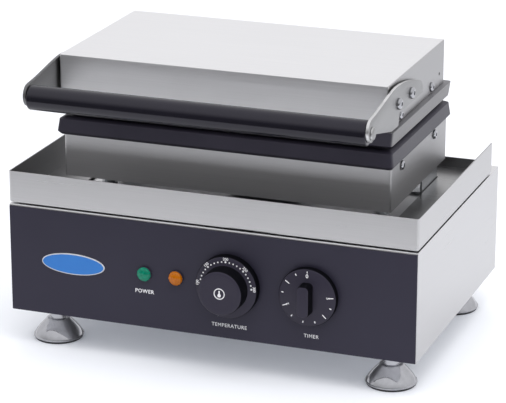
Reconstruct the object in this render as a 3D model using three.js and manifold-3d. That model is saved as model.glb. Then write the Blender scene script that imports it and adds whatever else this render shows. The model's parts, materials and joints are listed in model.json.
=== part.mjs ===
// A countertop Belgian waffle maker: a steel cabinet on four levelling feet, a drip tray round a raised
// pedestal, two cast waffle plates that meet face to face, and a lid with a bar handle that swings up
// and back on two hinge pins. Millimetres, +Z up, front towards -Y, standing on Z = 0.
import * as THREE from "three";
import { mergeVertices } from "three/addons/utils/BufferGeometryUtils.js";
import Module from "manifold-3d";

const wasm = await Module();
wasm.setup();

// Clearances and overruns shared by every piece
const SEAT_GAP = 0.3;
const HOLE_GAP = 0.3;
const OVERRUN = 1;

// Cabinet
const CABINET_WIDTH = 450;
const CABINET_DEPTH = 304.5;
const CABINET_HEIGHT = 119;
const CABINET_SHEET = 1.5;
const CABINET_FLANGE = 12;
const BASE_FLANGE = 14;
const BASE_SLOT_LENGTH = 60;
const BASE_SLOT_WIDTH = 5;
const BASE_SLOT_PITCH = 14;
const BASE_SLOT_COUNT = 7;
const REAR_SLOT_LENGTH = 44;
const REAR_SLOT_WIDTH = 4.5;
const REAR_SLOT_PITCH = 12;
const REAR_SLOT_COUNT = 5;
const REAR_SLOT_OFFSET = 120;
const FASCIA_SHEET = 0.8;
const FASCIA_MARGIN = 0.4;
const FASCIA_TOP_MARGIN = 2.2;
const CABINET_FOLD_RADIUS = 1.8;

// Levelling feet
const FOOT_HEIGHT = 39.4;
const FOOT_RIM_RADIUS = 27.2;
const FOOT_RIM_HEIGHT = 4.3;
const FOOT_RIM_EDGE = 0.8;
const FOOT_CONE_HEIGHT = 15.3;
const FOOT_SHOULDER_RADIUS = 12.5;
const FOOT_SHOULDER_EDGE = 0.6;
const FOOT_NECK_RADIUS = 8.4;
const FOOT_SOLE_INSET = 1.2;
const FOOT_SOLE_HEIGHT = 2.2;
const FOOT_STUD_RADIUS = 5;
const FOOT_STUD_LENGTH = 16;
const FOOT_INSET_X = 36.7;
const FOOT_INSET_Y = 36.2;
const FOOT_BUSH_RADIUS = 9;
const FOOT_BUSH_HEIGHT = 13;

// Drip tray
const TRAY_SHEET = 1.2;
const TRAY_LIFT = 1.6;
const TRAY_WALL_HEIGHT = 34.1;
const TRAY_BACK_HEIGHT = 12.4;
const TRAY_BACK_SETBACK = 27.7;
const TRAY_BEND_RADIUS = 1.4;
const TRAY_CORNER_RADIUS = 3;
const TRAY_PAD_RADIUS = 7;
const TRAY_PAD_INSET_X = 24;
const TRAY_PAD_INSET_Y = 22;
const TRAY_CUT_GAP = 1;
const TRAY_CUT_FRONT_Y = -75;

// Supports between the cabinet top and the pedestal
const SUPPORT_HEIGHT = 21.7;
const SUPPORT_WIDTH = 20;
const SUPPORT_LENGTH = 57.5;
const SUPPORT_INSET = 6.5;
const SUPPORT_FRONT_Y = 27;
const SUPPORT_SHEET = 2;
const STANDOFF_RADIUS = 6;
const STANDOFF_COLLAR_RADIUS = 9;
const STANDOFF_COLLAR_HEIGHT = 2;
const STANDOFF_INSET = 27;
const STANDOFF_Y = -50;

// Wiring duct through the tray's cut-out
const DUCT_WIDTH = 80;
const DUCT_DEPTH = 40;
const DUCT_SHEET = 1.5;
const DUCT_FLANGE = 6;
const DUCT_BELOW = 12;
const DUCT_ABOVE = 8;
const DUCT_Y = 40;

// Pedestal that holds the lower heater
const PEDESTAL_SIDE_INSET = 4.5;
const PEDESTAL_FRONT_INSET = 8.7;
const PEDESTAL_BACK_INSET = 0.8;
const PEDESTAL_HEIGHT = 46.7;
const PEDESTAL_SHEET = 1.2;
const PEDESTAL_BEND_RADIUS = 2.5;

// Cast waffle plates
const PLATE_WIDTH = 371;
const PLATE_DEPTH = 208.5;
const PLATE_CENTRE_Y = -9.95;
const PLATE_CORNER_RADIUS = 3;
const PLATE_CHAMFER_WIDTH = 5;
const PLATE_CHAMFER_HEIGHT = 2.6;
const LOWER_FOOT_CHAMFER_WIDTH = 3;
const LOWER_FOOT_CHAMFER_HEIGHT = 3.6;
const UPPER_BACK_CHAMFER = 0.4;
const PLATE_DRAFT = 1.8;
const LOWER_FLANGE_THICKNESS = 19.7;
const UPPER_FLANGE_THICKNESS = 17.9;
const UPPER_FLANGE_FORWARD = 2.2;
const FLANGE_SPACE = 3.4;
const FIELD_SPACE = 0.4;
const FIELD_INSET = 10.5;
const FIELD_CORNER_RADIUS = 8;
const CAVITY_SIDE_MARGIN = 19.5;
const CAVITY_END_MARGIN = 18.75;
const CAVITY_RIB = 11;
const CAVITY_SINK = 13.5;
const CAVITY_DRAFT = 3;
const PEG_ROWS = 5;
const PEG_COLUMNS = 5;
const PEG_FOOT_SHARE = 0.73;
const PEG_TIP_SHARE = 0.59;
const PEG_HEIGHT = 9;

// Hinge
const HINGE_SETBACK = 12.5;
const HINGE_SPACING = 220;
const HINGE_PIN_RADIUS = 4;
const HINGE_PIN_HEAD_RADIUS = 6.5;
const HINGE_PIN_HEAD_HEIGHT = 2.5;
const HINGE_EAR_RADIUS = 9.5;
const HINGE_EAR_WIDTH = 9;
const HINGE_KNUCKLE_WIDTH = 16;
const HINGE_SIDE_GAP = 0.5;
const HINGE_EAR_ROOT = 8;

// Lid cover
const COVER_SIDE_INSET = 5.9;
const COVER_FRONT_REACH = 1.4;
const COVER_BACK_INSET = 11.3;
const COVER_HEIGHT = 47.4;
const COVER_SHEET = 1.2;
const COVER_BEND_RADIUS = 0.9;

// Handle and its side brackets
const HANDLE_RADIUS = 13;
const HANDLE_AXIS_Y = -183;
const HANDLE_AXIS_ABOVE_PLATE = 38.2;
const HANDLE_END_ROUND = 1.6;
const BRACKET_SHEET = 3;
const BRACKET_STANDOFF = 2.1;
const BRACKET_PAD_RADIUS = 8;
const BRACKET_NOSE_RADIUS = 12;
const BRACKET_NOSE_LIFT = 2.9;
const BRACKET_LENGTH = 171.5;
const BRACKET_DROP = 3.6;
const BRACKET_CREST_RISE = 22.9;
const BRACKET_CREST_SHARE = 0.472;
const BRACKET_SHOULDER_SHARE = 0.14;
const BRACKET_SHOULDER_RISE = 13.5;
const BRACKET_REAR_SHARE = 0.95;
const BRACKET_REAR_RISE = 8;
const BRACKET_BOLT_NEAR = 86;
const BRACKET_BOLT_SPACING = 43;
const BRACKET_BOLT_RISE = 6.7;

// Screws and bolts
const BOLT_HEAD_RADIUS = 6;
const BOLT_HEAD_HEIGHT = 3.4;
const BOLT_SHANK_RADIUS = 2.5;
const BOLT_SHANK_LENGTH = 12;
const SCREW_HEAD_RADIUS = 5.2;
const SCREW_HEAD_HEIGHT = 2.5;
const HEAD_CROWN_SHARE = 0.65;
const SCREW_SHANK_RADIUS = 2;
const SCREW_SHANK_LENGTH = 9;
const HANDLE_BOLT_HEAD_RADIUS = 6.8;
const HANDLE_BOLT_HEAD_HEIGHT = 2.5;
const HANDLE_BOLT_SHANK_RADIUS = 4;
const HANDLE_BOLT_LENGTH = 26;
const COVER_SCREW_Y = -73.7;
const COVER_SCREW_SPACING = 109.2;
const COVER_SCREW_RISE = 6.9;
const PEDESTAL_SCREW_Y = -70;
const PEDESTAL_SCREW_SPACING = 116;
const PLATE_BOSS_WIDTH = 16;
const PLATE_BOSS_LENGTH = 10;
const PLATE_BOSS_DROP = 13;

// Tubular heaters
const HEATER_RADIUS = 4.2;
const HEATER_SIDE_MARGIN = 60.5;
const HEATER_END_MARGIN = 60.25;
const HEATER_TAIL_LENGTH = 26;
const CLAMP_WIDTH = 18;
const CLAMP_THICKNESS = 2.5;
const CLAMP_REACH = 12;
const CLAMP_POST_RADIUS = 6;

// Controls on the front
const CONTROL_RISE = 60;
const GREEN_LAMP_X = -70.5;
const AMBER_LAMP_X = -35;
const TEMPERATURE_X = 24;
const TIMER_X = 111.5;
const LAMP_LENS_RADIUS = 6.8;
const LAMP_LENS_RISE = 4.6;
const LAMP_BEZEL_RADIUS = 8;
const LAMP_BEZEL_HEIGHT = 1.6;
const LAMP_BARREL_RADIUS = 5.6;
const LAMP_BARREL_LENGTH = 30;
const LAMP_SPIGOT_RADIUS = 4;
const LAMP_LENS_SINK = 3;
const DIAL_RADIUS = 33.6;
const DIAL_HEIGHT = 11;
const DIAL_EDGE = 1.2;
const TEMPERATURE_GRIP_RADIUS = 24.3;
const TEMPERATURE_GRIP_HEIGHT = 18;
const GRIP_EDGE = 1.8;
const TIMER_DIAL_RADIUS = 31;
const TIMER_DIAL_HEIGHT = 8;
const TIMER_HUB_RADIUS = 18;
const TIMER_HUB_CROWN_SHARE = 0.6;
const TIMER_BAR_WIDTH = 14;
const TIMER_BAR_LENGTH = 34;
const TIMER_BAR_HEIGHT = 15;
const TIMER_BAR_DRAFT = 1.5;
const SHAFT_RADIUS = 3;
const SHAFT_BUSH_RADIUS = 5;
const SHAFT_BUSH_REACH = 3;
const KNOB_SOCKET_DEPTH = 9;
const THERMOSTAT_WIDTH = 46;
const THERMOSTAT_HEIGHT = 40;
const THERMOSTAT_DEPTH = 34;
const TIMER_BODY_RADIUS = 24;
const TIMER_BODY_DEPTH = 30;
const TIMER_PLATE_WIDTH = 40;
const TIMER_PLATE_HEIGHT = 56;
const TIMER_PLATE_THICKNESS = 2;

// Electrics inside the cabinet, and cable entries
const CAPILLARY_RADIUS = 1.5;
const CAPILLARY_RISE = 30;
const BULB_RADIUS = 3.2;
const BULB_LENGTH = 58;
const BULB_BEND_SHARE = 0.85;
const BULB_TIP_MARGIN = 14.9;
const TERMINAL_LENGTH = 66;
const TERMINAL_WIDTH = 24;
const TERMINAL_HEIGHT = 20;
const TERMINAL_WAYS = 5;
const TERMINAL_INSET = 105;
const CUTOUT_RADIUS = 9;
const CUTOUT_HEIGHT = 12;
const CUTOUT_FLANGE_LENGTH = 32;
const CUTOUT_FLANGE_WIDTH = 12;
const CUTOUT_FLANGE_THICKNESS = 1.5;
const CUTOUT_X = 60;
const GLAND_THREAD_RADIUS = 8;
const GLAND_COLLAR_RADIUS = 12;
const GLAND_COLLAR_HEIGHT = 5;
const GLAND_CAP_RADIUS = 10.5;
const GLAND_CAP_HEIGHT = 9;
const GLAND_BORE_RADIUS = 4.5;
const GLAND_NUT_RADIUS = 12;
const GLAND_NUT_HEIGHT = 4;
const GLAND_INSET = 55;
const GLAND_RISE = 32;
const CONDUIT_X = 40;

// How finely round shapes are cut
const ROUND_FINE = 28;
const ROUND_MEDIUM = 16;
const ROUND_SMALL = 8;

// Heights and planes worked out from the sizes above
const cabinetBottom = FOOT_HEIGHT;
const cabinetTop = cabinetBottom + CABINET_HEIGHT;
const cabinetFront = -CABINET_DEPTH / 2;
const cabinetBack = CABINET_DEPTH / 2;
const cabinetSide = CABINET_WIDTH / 2;
const trayBottom = cabinetTop + TRAY_LIFT;
const trayBack = cabinetBack - TRAY_BACK_SETBACK;
const supportBottom = cabinetTop + SEAT_GAP;
const supportTop = supportBottom + SUPPORT_HEIGHT;
const pedestalBottom = supportTop + SEAT_GAP;
const pedestalTop = pedestalBottom + PEDESTAL_HEIGHT;
const pedestalWidth = PLATE_WIDTH - 2 * PEDESTAL_SIDE_INSET;
const pedestalDepth = PLATE_DEPTH - PEDESTAL_FRONT_INSET - PEDESTAL_BACK_INSET;
const pedestalCentreY = PLATE_CENTRE_Y + (PEDESTAL_FRONT_INSET - PEDESTAL_BACK_INSET) / 2;
const pedestalSide = pedestalWidth / 2;
const supportOuterX = pedestalSide - SUPPORT_INSET;
const standoffX = pedestalSide - STANDOFF_INSET;
const lowerPlateBottom = pedestalTop + SEAT_GAP;
const lowerFlangeTop = lowerPlateBottom + LOWER_FLANGE_THICKNESS;
const platePlane = lowerFlangeTop + FLANGE_SPACE / 2;
const upperFlangeBottom = platePlane + FLANGE_SPACE / 2;
const upperPlateTop = upperFlangeBottom + UPPER_FLANGE_THICKNESS;
const fieldWidth = PLATE_WIDTH - 2 * FIELD_INSET;
const fieldDepth = PLATE_DEPTH - 2 * FIELD_INSET;
const cavityWidth = (fieldWidth - CAVITY_RIB) / 2 - CAVITY_SIDE_MARGIN;
const cavityDepth = fieldDepth - 2 * CAVITY_END_MARGIN;
const cavitySpacing = cavityWidth + CAVITY_RIB;
const coverBottom = upperPlateTop + SEAT_GAP;
const coverTop = coverBottom + COVER_HEIGHT;
const coverWidth = PLATE_WIDTH - 2 * COVER_SIDE_INSET;
const coverDepth = PLATE_DEPTH + COVER_FRONT_REACH - COVER_BACK_INSET;
const coverCentreY = PLATE_CENTRE_Y - (COVER_FRONT_REACH + COVER_BACK_INSET) / 2;
const coverSide = coverWidth / 2;
const plateBack = PLATE_CENTRE_Y + PLATE_DEPTH / 2;
const hingeY = plateBack + HINGE_SETBACK;
const handleZ = platePlane + HANDLE_AXIS_ABOVE_PLATE;
const controlZ = cabinetBottom + CONTROL_RISE;
const fasciaBack = cabinetFront - SEAT_GAP;
const fasciaFront = fasciaBack - FASCIA_SHEET;
const bracketInner = coverSide + BRACKET_STANDOFF;
const bracketOuter = bracketInner + BRACKET_SHEET;
const heaterRunLength = PLATE_WIDTH - 2 * HEATER_SIDE_MARGIN;
const heaterRunSpacing = (PLATE_DEPTH - 2 * HEATER_END_MARGIN) / 2;
const glandX = GLAND_INSET - cabinetSide;
const terminalX = TERMINAL_INSET - cabinetSide;

// Finishes
const finish = (color, roughness, metalness) => () =>
  new THREE.MeshStandardMaterial({ color, roughness, metalness });
const brushedSteel = finish(0xc9c9cc, 0.34, 0.95);
const chrome = finish(0xe4e6ea, 0.08, 1);
const zincedSteel = finish(0xb4b8bc, 0.4, 0.9);
const castIron = finish(0x2d2c35, 0.55, 0.35);
const fasciaBlack = finish(0x34333d, 0.5, 0);
const gripBlack = finish(0x1c1b20, 0.22, 0);
const knobBlack = finish(0x323139, 0.45, 0);
const greenLens = finish(0x12a06a, 0.15, 0);
const amberLens = finish(0xd97d1c, 0.15, 0);
const heaterSteel = finish(0x6e6a66, 0.5, 0.8);
const ceramicWhite = finish(0xe4e0d6, 0.6, 0);
const blackRubber = finish(0x202022, 0.7, 0);
const copper = finish(0xb46a43, 0.35, 0.95);

// A closed solid from a geometry, and a geometry from a solid
function solidFrom(geometry) {
  const loose = geometry.index ? geometry.toNonIndexed() : geometry.clone();
  const bare = new THREE.BufferGeometry().setAttribute("position", loose.getAttribute("position"));
  const merged = mergeVertices(bare);
  return new wasm.Manifold(
    new wasm.Mesh({
      numProp: 3,
      vertProperties: merged.attributes.position.array,
      triVerts: new Uint32Array(merged.index.array),
    }),
  );
}

function geometryFrom(solid) {
  const mesh = solid.getMesh();
  return new THREE.BufferGeometry()
    .setAttribute("position", new THREE.BufferAttribute(mesh.vertProperties, 3))
    .setIndex(new THREE.BufferAttribute(mesh.triVerts, 1));
}

// A straight block between two opposite corners
function block(low, high) {
  const size = high.map((value, i) => value - low[i]);
  const geometry = new THREE.BoxGeometry(...size);
  geometry.translate(...low.map((value, i) => value + size[i] / 2));
  return solidFrom(geometry);
}

// Turns a shape drawn along +Z so that it points along another axis
const turnTo = {
  "+z": (geometry) => geometry,
  "-z": (geometry) => geometry.rotateX(Math.PI),
  "+y": (geometry) => geometry.rotateX(-Math.PI / 2),
  "-y": (geometry) => geometry.rotateX(Math.PI / 2),
  "+x": (geometry) => geometry.rotateY(Math.PI / 2),
  "-x": (geometry) => geometry.rotateY(-Math.PI / 2),
};

// A turned piece: [radius, height] points from the foot to the top, closed on the axis
function turned(profile, place, direction = "+z", segments = ROUND_MEDIUM) {
  const first = profile[0];
  const last = profile[profile.length - 1];
  const outline = [[0, first[1]], ...profile, [0, last[1]]].map(([r, h]) => new THREE.Vector2(r, h));
  const geometry = new THREE.LatheGeometry(outline, segments);
  geometry.rotateX(Math.PI / 2);
  turnTo[direction](geometry);
  geometry.translate(...place);
  return solidFrom(geometry);
}

const rod = (radius, length, place, direction = "+z", segments = ROUND_MEDIUM) =>
  turned([[radius, 0], [radius, length]], place, direction, segments);

// A bore for a round piece of the given radius: even its flats stay clear of the piece
const bore = (radius, length, place, direction = "+z", segments = ROUND_MEDIUM) =>
  rod((radius + HOLE_GAP) / Math.cos(Math.PI / segments), length, place, direction, segments);

// A rectangle with round corners, centred on a point
function roundedRectangle(width, depth, radius, centreX = 0, centreY = 0) {
  const left = centreX - width / 2;
  const right = centreX + width / 2;
  const bottom = centreY - depth / 2;
  const top = centreY + depth / 2;
  const shape = new THREE.Shape();
  shape.moveTo(left + radius, bottom);
  shape.absarc(right - radius, bottom + radius, radius, -Math.PI / 2, 0);
  shape.absarc(right - radius, top - radius, radius, 0, Math.PI / 2);
  shape.absarc(left + radius, top - radius, radius, Math.PI / 2, Math.PI);
  shape.absarc(left + radius, bottom + radius, radius, Math.PI, (3 * Math.PI) / 2);
  return shape;
}

// A slab with round corners between two heights, with its edges chamfered or rounded
function slab({ width, depth, radius, centreY = 0, low, high, edge = 0, edgeSteps = 1, curve = 4 }) {
  const outline = roundedRectangle(width - 2 * edge, depth - 2 * edge, Math.max(radius - edge, edge), 0, centreY);
  const geometry = new THREE.ExtrudeGeometry(outline, {
    depth: high - low - 2 * edge,
    bevelEnabled: edge > 0,
    bevelSize: edge,
    bevelThickness: edge,
    bevelSegments: edgeSteps,
    curveSegments: curve,
  });
  geometry.translate(0, 0, low + edge);
  return solidFrom(geometry);
}

// A solid through a stack of round-cornered rectangles: [width, depth, corner radius, height] from the foot up
function stacked(rings, centreY, curve = 2) {
  const loops = rings.map(([width, depth, radius, height]) =>
    roundedRectangle(width, depth, radius, 0, centreY)
      .getPoints(curve)
      .map((point) => [point.x, point.y, height]),
  );
  const count = loops[0].length;
  const corners = [];
  for (let i = 0; i < count; i++) {
    const next = (i + 1) % count;
    for (let level = 1; level < loops.length; level++) {
      const low = loops[level - 1];
      const high = loops[level];
      corners.push(low[i], low[next], high[next], low[i], high[next], high[i]);
    }
  }
  const foot = loops[0];
  const top = loops[loops.length - 1];
  for (let i = 1; i + 1 < count; i++) {
    corners.push(foot[0], foot[i + 1], foot[i], top[0], top[i], top[i + 1]);
  }
  const geometry = new THREE.BufferGeometry();
  geometry.setAttribute("position", new THREE.Float32BufferAttribute(corners.flat(), 3));
  return solidFrom(geometry);
}

// A plate cut from an outline drawn in the Y-Z plane, from one X to another
function sidePlate(outline, fromX, toX, curve = 8) {
  const geometry = new THREE.ExtrudeGeometry(outline, {
    depth: toX - fromX,
    bevelEnabled: false,
    curveSegments: curve,
  });
  geometry.rotateX(Math.PI / 2);
  geometry.rotateZ(Math.PI / 2);
  geometry.translate(fromX, 0, 0);
  return solidFrom(geometry);
}

const joined = (first, ...others) => others.reduce((sum, piece) => sum.add(piece), first);
const cut = (first, ...others) => others.reduce((rest, piece) => rest.subtract(piece), first);

// A round tube that follows a path, closed at its ends
function tube(path, radius, steps, sides = 3) {
  const section = new THREE.Shape();
  section.absarc(0, 0, radius, 0, 2 * Math.PI);
  return solidFrom(
    new THREE.ExtrudeGeometry(section, { extrudePath: path, steps, curveSegments: sides, bevelEnabled: false }),
  );
}

// Cabinet shell: one folded sheet with front, top and sides, and return flanges behind
function cabinetShell() {
  const fold = CABINET_FOLD_RADIUS;
  const profile = new THREE.Shape();
  profile.moveTo(cabinetFront, cabinetBottom);
  profile.lineTo(cabinetBack, cabinetBottom);
  profile.lineTo(cabinetBack, cabinetTop);
  profile.lineTo(cabinetFront + fold, cabinetTop);
  profile.absarc(cabinetFront + fold, cabinetTop - fold, fold, Math.PI / 2, Math.PI);
  const outer = sidePlate(profile, -cabinetSide, cabinetSide, 2);
  const hollow = block(
    [-cabinetSide + CABINET_SHEET, cabinetFront + CABINET_SHEET, cabinetBottom - OVERRUN],
    [cabinetSide - CABINET_SHEET, cabinetBack + OVERRUN, cabinetTop - CABINET_SHEET],
  );
  const flangeFront = cabinetBack - 2 * CABINET_SHEET - SEAT_GAP;
  const flange = block(
    [-cabinetSide + CABINET_SHEET, flangeFront, cabinetBottom + BASE_FLANGE + CABINET_SHEET + SEAT_GAP],
    [cabinetSide - CABINET_SHEET, flangeFront + CABINET_SHEET, cabinetTop - CABINET_SHEET],
  );
  const doorway = block(
    [-cabinetSide + CABINET_SHEET + CABINET_FLANGE, flangeFront - OVERRUN, cabinetBottom],
    [cabinetSide - CABINET_SHEET - CABINET_FLANGE, cabinetBack, cabinetTop - CABINET_SHEET - CABINET_FLANGE],
  );
  const ductHole = block(
    [-DUCT_WIDTH / 2 - HOLE_GAP, DUCT_Y - DUCT_DEPTH / 2 - HOLE_GAP, cabinetTop - CABINET_SHEET - OVERRUN],
    [DUCT_WIDTH / 2 + HOLE_GAP, DUCT_Y + DUCT_DEPTH / 2 + HOLE_GAP, cabinetTop + OVERRUN],
  );
  return cut(joined(cut(outer, hollow), cut(flange, doorway)), ductHole, ...controlHoles(CABINET_SHEET));
}

// Holes in the front for the two lamps and the two shafts, as deep as the sheet they go through
function controlHoles(sheet) {
  const length = sheet + SEAT_GAP + FASCIA_SHEET + 2 * OVERRUN;
  const start = fasciaFront - OVERRUN;
  const hole = (x, radius) => bore(radius, length, [x, start, controlZ], "+y");
  return [
    hole(GREEN_LAMP_X, LAMP_BARREL_RADIUS),
    hole(AMBER_LAMP_X, LAMP_BARREL_RADIUS),
    hole(TEMPERATURE_X, SHAFT_BUSH_RADIUS),
    hole(TIMER_X, SHAFT_BUSH_RADIUS),
  ];
}

// Black control fascia on the front
function frontFascia() {
  const half = cabinetSide - FASCIA_MARGIN;
  const plate = block(
    [-half, fasciaFront, cabinetBottom + FASCIA_MARGIN],
    [half, fasciaBack, cabinetTop - FASCIA_TOP_MARGIN],
  );
  return cut(plate, ...controlHoles(CABINET_SHEET));
}

// Where the four feet stand
const footX = cabinetSide - FOOT_INSET_X;
const footY = CABINET_DEPTH / 2 - FOOT_INSET_Y;
const footPlaces = [
  ["front_left", -footX, -footY],
  ["front_right", footX, -footY],
  ["rear_left", -footX, footY],
  ["rear_right", footX, footY],
];

// Base plate: a shallow pan inside the cabinet with vent slots and a threaded bush over each foot
function basePlate() {
  const gap = CABINET_SHEET + SEAT_GAP;
  const back = cabinetBack - 2 * CABINET_SHEET - 2 * SEAT_GAP;
  const low = [-cabinetSide + gap, cabinetFront + gap, cabinetBottom];
  const outer = block(low, [cabinetSide - gap, back, cabinetBottom + BASE_FLANGE]);
  const hollow = block(
    [low[0] + CABINET_SHEET, low[1] + CABINET_SHEET, cabinetBottom + CABINET_SHEET],
    [cabinetSide - gap - CABINET_SHEET, back - CABINET_SHEET, cabinetBottom + BASE_FLANGE + OVERRUN],
  );
  const slots = [];
  for (let i = 0; i < BASE_SLOT_COUNT; i++) {
    const y = (i - (BASE_SLOT_COUNT - 1) / 2) * BASE_SLOT_PITCH;
    slots.push(
      block(
        [-BASE_SLOT_LENGTH / 2, y - BASE_SLOT_WIDTH / 2, cabinetBottom - OVERRUN],
        [BASE_SLOT_LENGTH / 2, y + BASE_SLOT_WIDTH / 2, cabinetBottom + CABINET_SHEET + OVERRUN],
      ),
    );
  }
  const bushes = footPlaces.map(([, x, y]) => rod(FOOT_BUSH_RADIUS, FOOT_BUSH_HEIGHT, [x, y, cabinetBottom], "+z", 6));
  const bores = footPlaces.map(([, x, y]) =>
    bore(FOOT_STUD_RADIUS, FOOT_BUSH_HEIGHT + 2 * OVERRUN, [x, y, cabinetBottom - OVERRUN]),
  );
  return cut(joined(cut(outer, hollow), ...bushes), ...slots, ...bores);
}

// Rear panel with vent slots and the mains gland's hole
function rearPanel() {
  const gap = CABINET_SHEET + SEAT_GAP;
  const front = cabinetBack - CABINET_SHEET;
  const plate = block(
    [-cabinetSide + gap, front, cabinetBottom],
    [cabinetSide - gap, cabinetBack, cabinetTop - gap],
  );
  const middle = (cabinetBottom + cabinetTop) / 2;
  const slots = [];
  for (const side of [-1, 1]) {
    for (let i = 0; i < REAR_SLOT_COUNT; i++) {
      const z = middle + (i - (REAR_SLOT_COUNT - 1) / 2) * REAR_SLOT_PITCH;
      const x = side * REAR_SLOT_OFFSET;
      slots.push(
        block(
          [x - REAR_SLOT_LENGTH / 2, front - OVERRUN, z - REAR_SLOT_WIDTH / 2],
          [x + REAR_SLOT_LENGTH / 2, cabinetBack + OVERRUN, z + REAR_SLOT_WIDTH / 2],
        ),
      );
    }
  }
  const glandHole = bore(
    GLAND_THREAD_RADIUS,
    CABINET_SHEET + 2 * OVERRUN,
    [glandX, front - OVERRUN, cabinetBottom + GLAND_RISE],
    "+y",
  );
  return cut(plate, ...slots, glandHole);
}

// A levelling foot: a sole, a thin rim, a straight cone with a narrow shoulder, a neck and a threaded stud
function foot(x, y) {
  const sole = FOOT_RIM_RADIUS - FOOT_SOLE_INSET;
  const rimTop = FOOT_SOLE_HEIGHT + FOOT_RIM_HEIGHT;
  const coneTop = rimTop + FOOT_CONE_HEIGHT;
  const top = FOOT_HEIGHT - SEAT_GAP;
  const profile = [
    [sole, 0],
    [sole, FOOT_SOLE_HEIGHT],
    [FOOT_RIM_RADIUS, FOOT_SOLE_HEIGHT + FOOT_RIM_EDGE],
    [FOOT_RIM_RADIUS, rimTop - FOOT_RIM_EDGE],
    [sole, rimTop],
    [FOOT_SHOULDER_RADIUS, coneTop],
    [FOOT_SHOULDER_RADIUS - FOOT_SHOULDER_EDGE, coneTop + FOOT_SHOULDER_EDGE],
    [FOOT_NECK_RADIUS, coneTop + FOOT_SHOULDER_EDGE],
    [FOOT_NECK_RADIUS, top],
    [FOOT_STUD_RADIUS, top],
    [FOOT_STUD_RADIUS, top + FOOT_STUD_LENGTH],
  ];
  return turned(profile, [x, y, 0], "+z", ROUND_MEDIUM);
}

// Drip tray: high walls in front and at the sides, a low one behind, and a cut-out for the pedestal's supports
function dripTray() {
  const depth = trayBack - cabinetFront;
  const centreY = (trayBack + cabinetFront) / 2;
  const top = trayBottom + TRAY_WALL_HEIGHT;
  const outer = slab({
    width: CABINET_WIDTH,
    depth,
    radius: TRAY_BEND_RADIUS,
    centreY,
    low: trayBottom,
    high: top + 2 * TRAY_BEND_RADIUS,
    edge: TRAY_BEND_RADIUS,
    edgeSteps: 2,
    curve: 2,
  });
  const inner = block(
    [-cabinetSide + TRAY_SHEET, cabinetFront + TRAY_SHEET, trayBottom + TRAY_SHEET],
    [cabinetSide - TRAY_SHEET, trayBack - TRAY_SHEET, top + 3 * TRAY_BEND_RADIUS],
  );
  const far = cabinetSide + OVERRUN;
  const above = block([-far, cabinetFront - OVERRUN, top], [far, trayBack + OVERRUN, top + 4 * TRAY_BEND_RADIUS]);
  const lowBack = block(
    [-cabinetSide + TRAY_SHEET, trayBack - TRAY_BEND_RADIUS, trayBottom + TRAY_BACK_HEIGHT],
    [cabinetSide - TRAY_SHEET, trayBack + OVERRUN, top + OVERRUN],
  );
  const cutHalf = supportOuterX + TRAY_CUT_GAP;
  const cutBack = SUPPORT_FRONT_Y + SUPPORT_LENGTH + TRAY_CUT_GAP;
  const window = block(
    [-cutHalf, TRAY_CUT_FRONT_Y, trayBottom - OVERRUN],
    [cutHalf, cutBack, trayBottom + TRAY_SHEET + OVERRUN],
  );
  const bend = TRAY_CORNER_RADIUS;
  const corner = new THREE.Shape();
  corner.moveTo(trayBack + OVERRUN, top + OVERRUN);
  corner.lineTo(trayBack - bend, top + OVERRUN);
  corner.lineTo(trayBack - bend, top);
  corner.absarc(trayBack - bend, top - bend, bend, Math.PI / 2, 0, true);
  corner.lineTo(trayBack + OVERRUN, top - bend);
  const corners = sidePlate(corner, -far, far, 2);
  const padX = cabinetSide - TRAY_PAD_INSET_X;
  const pads = [-padX, padX].flatMap((x) =>
    [cabinetFront + TRAY_PAD_INSET_Y, trayBack - TRAY_PAD_INSET_Y].map((y) =>
      rod(TRAY_PAD_RADIUS, TRAY_LIFT, [x, y, cabinetTop + SEAT_GAP], "+z", ROUND_SMALL),
    ),
  );
  return joined(cut(outer, inner, above, lowBack, window, corners), ...pads);
}

// A folded channel support, open towards the middle of the machine
function support(side) {
  const outerX = side * supportOuterX;
  const innerX = side * (supportOuterX - SUPPORT_WIDTH);
  const webX = side * (supportOuterX - SUPPORT_SHEET);
  const back = SUPPORT_FRONT_Y + SUPPORT_LENGTH;
  const whole = block(
    [Math.min(outerX, innerX), SUPPORT_FRONT_Y, supportBottom],
    [Math.max(outerX, innerX), back, supportTop],
  );
  const past = innerX - side * OVERRUN;
  const channel = block(
    [Math.min(webX, past), SUPPORT_FRONT_Y - OVERRUN, supportBottom + SUPPORT_SHEET],
    [Math.max(webX, past), back + OVERRUN, supportTop - SUPPORT_SHEET],
  );
  return cut(whole, channel);
}

// A turned stand-off with a collar at each end, under the pedestal's front
function standoff(side) {
  const height = supportTop - supportBottom;
  return turned(
    [
      [STANDOFF_COLLAR_RADIUS, 0],
      [STANDOFF_COLLAR_RADIUS, STANDOFF_COLLAR_HEIGHT],
      [STANDOFF_RADIUS, STANDOFF_COLLAR_HEIGHT],
      [STANDOFF_RADIUS, height - STANDOFF_COLLAR_HEIGHT],
      [STANDOFF_COLLAR_RADIUS, height - STANDOFF_COLLAR_HEIGHT],
      [STANDOFF_COLLAR_RADIUS, height],
    ],
    [side * standoffX, STANDOFF_Y, supportBottom],
    "+z",
    ROUND_SMALL,
  );
}

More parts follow.
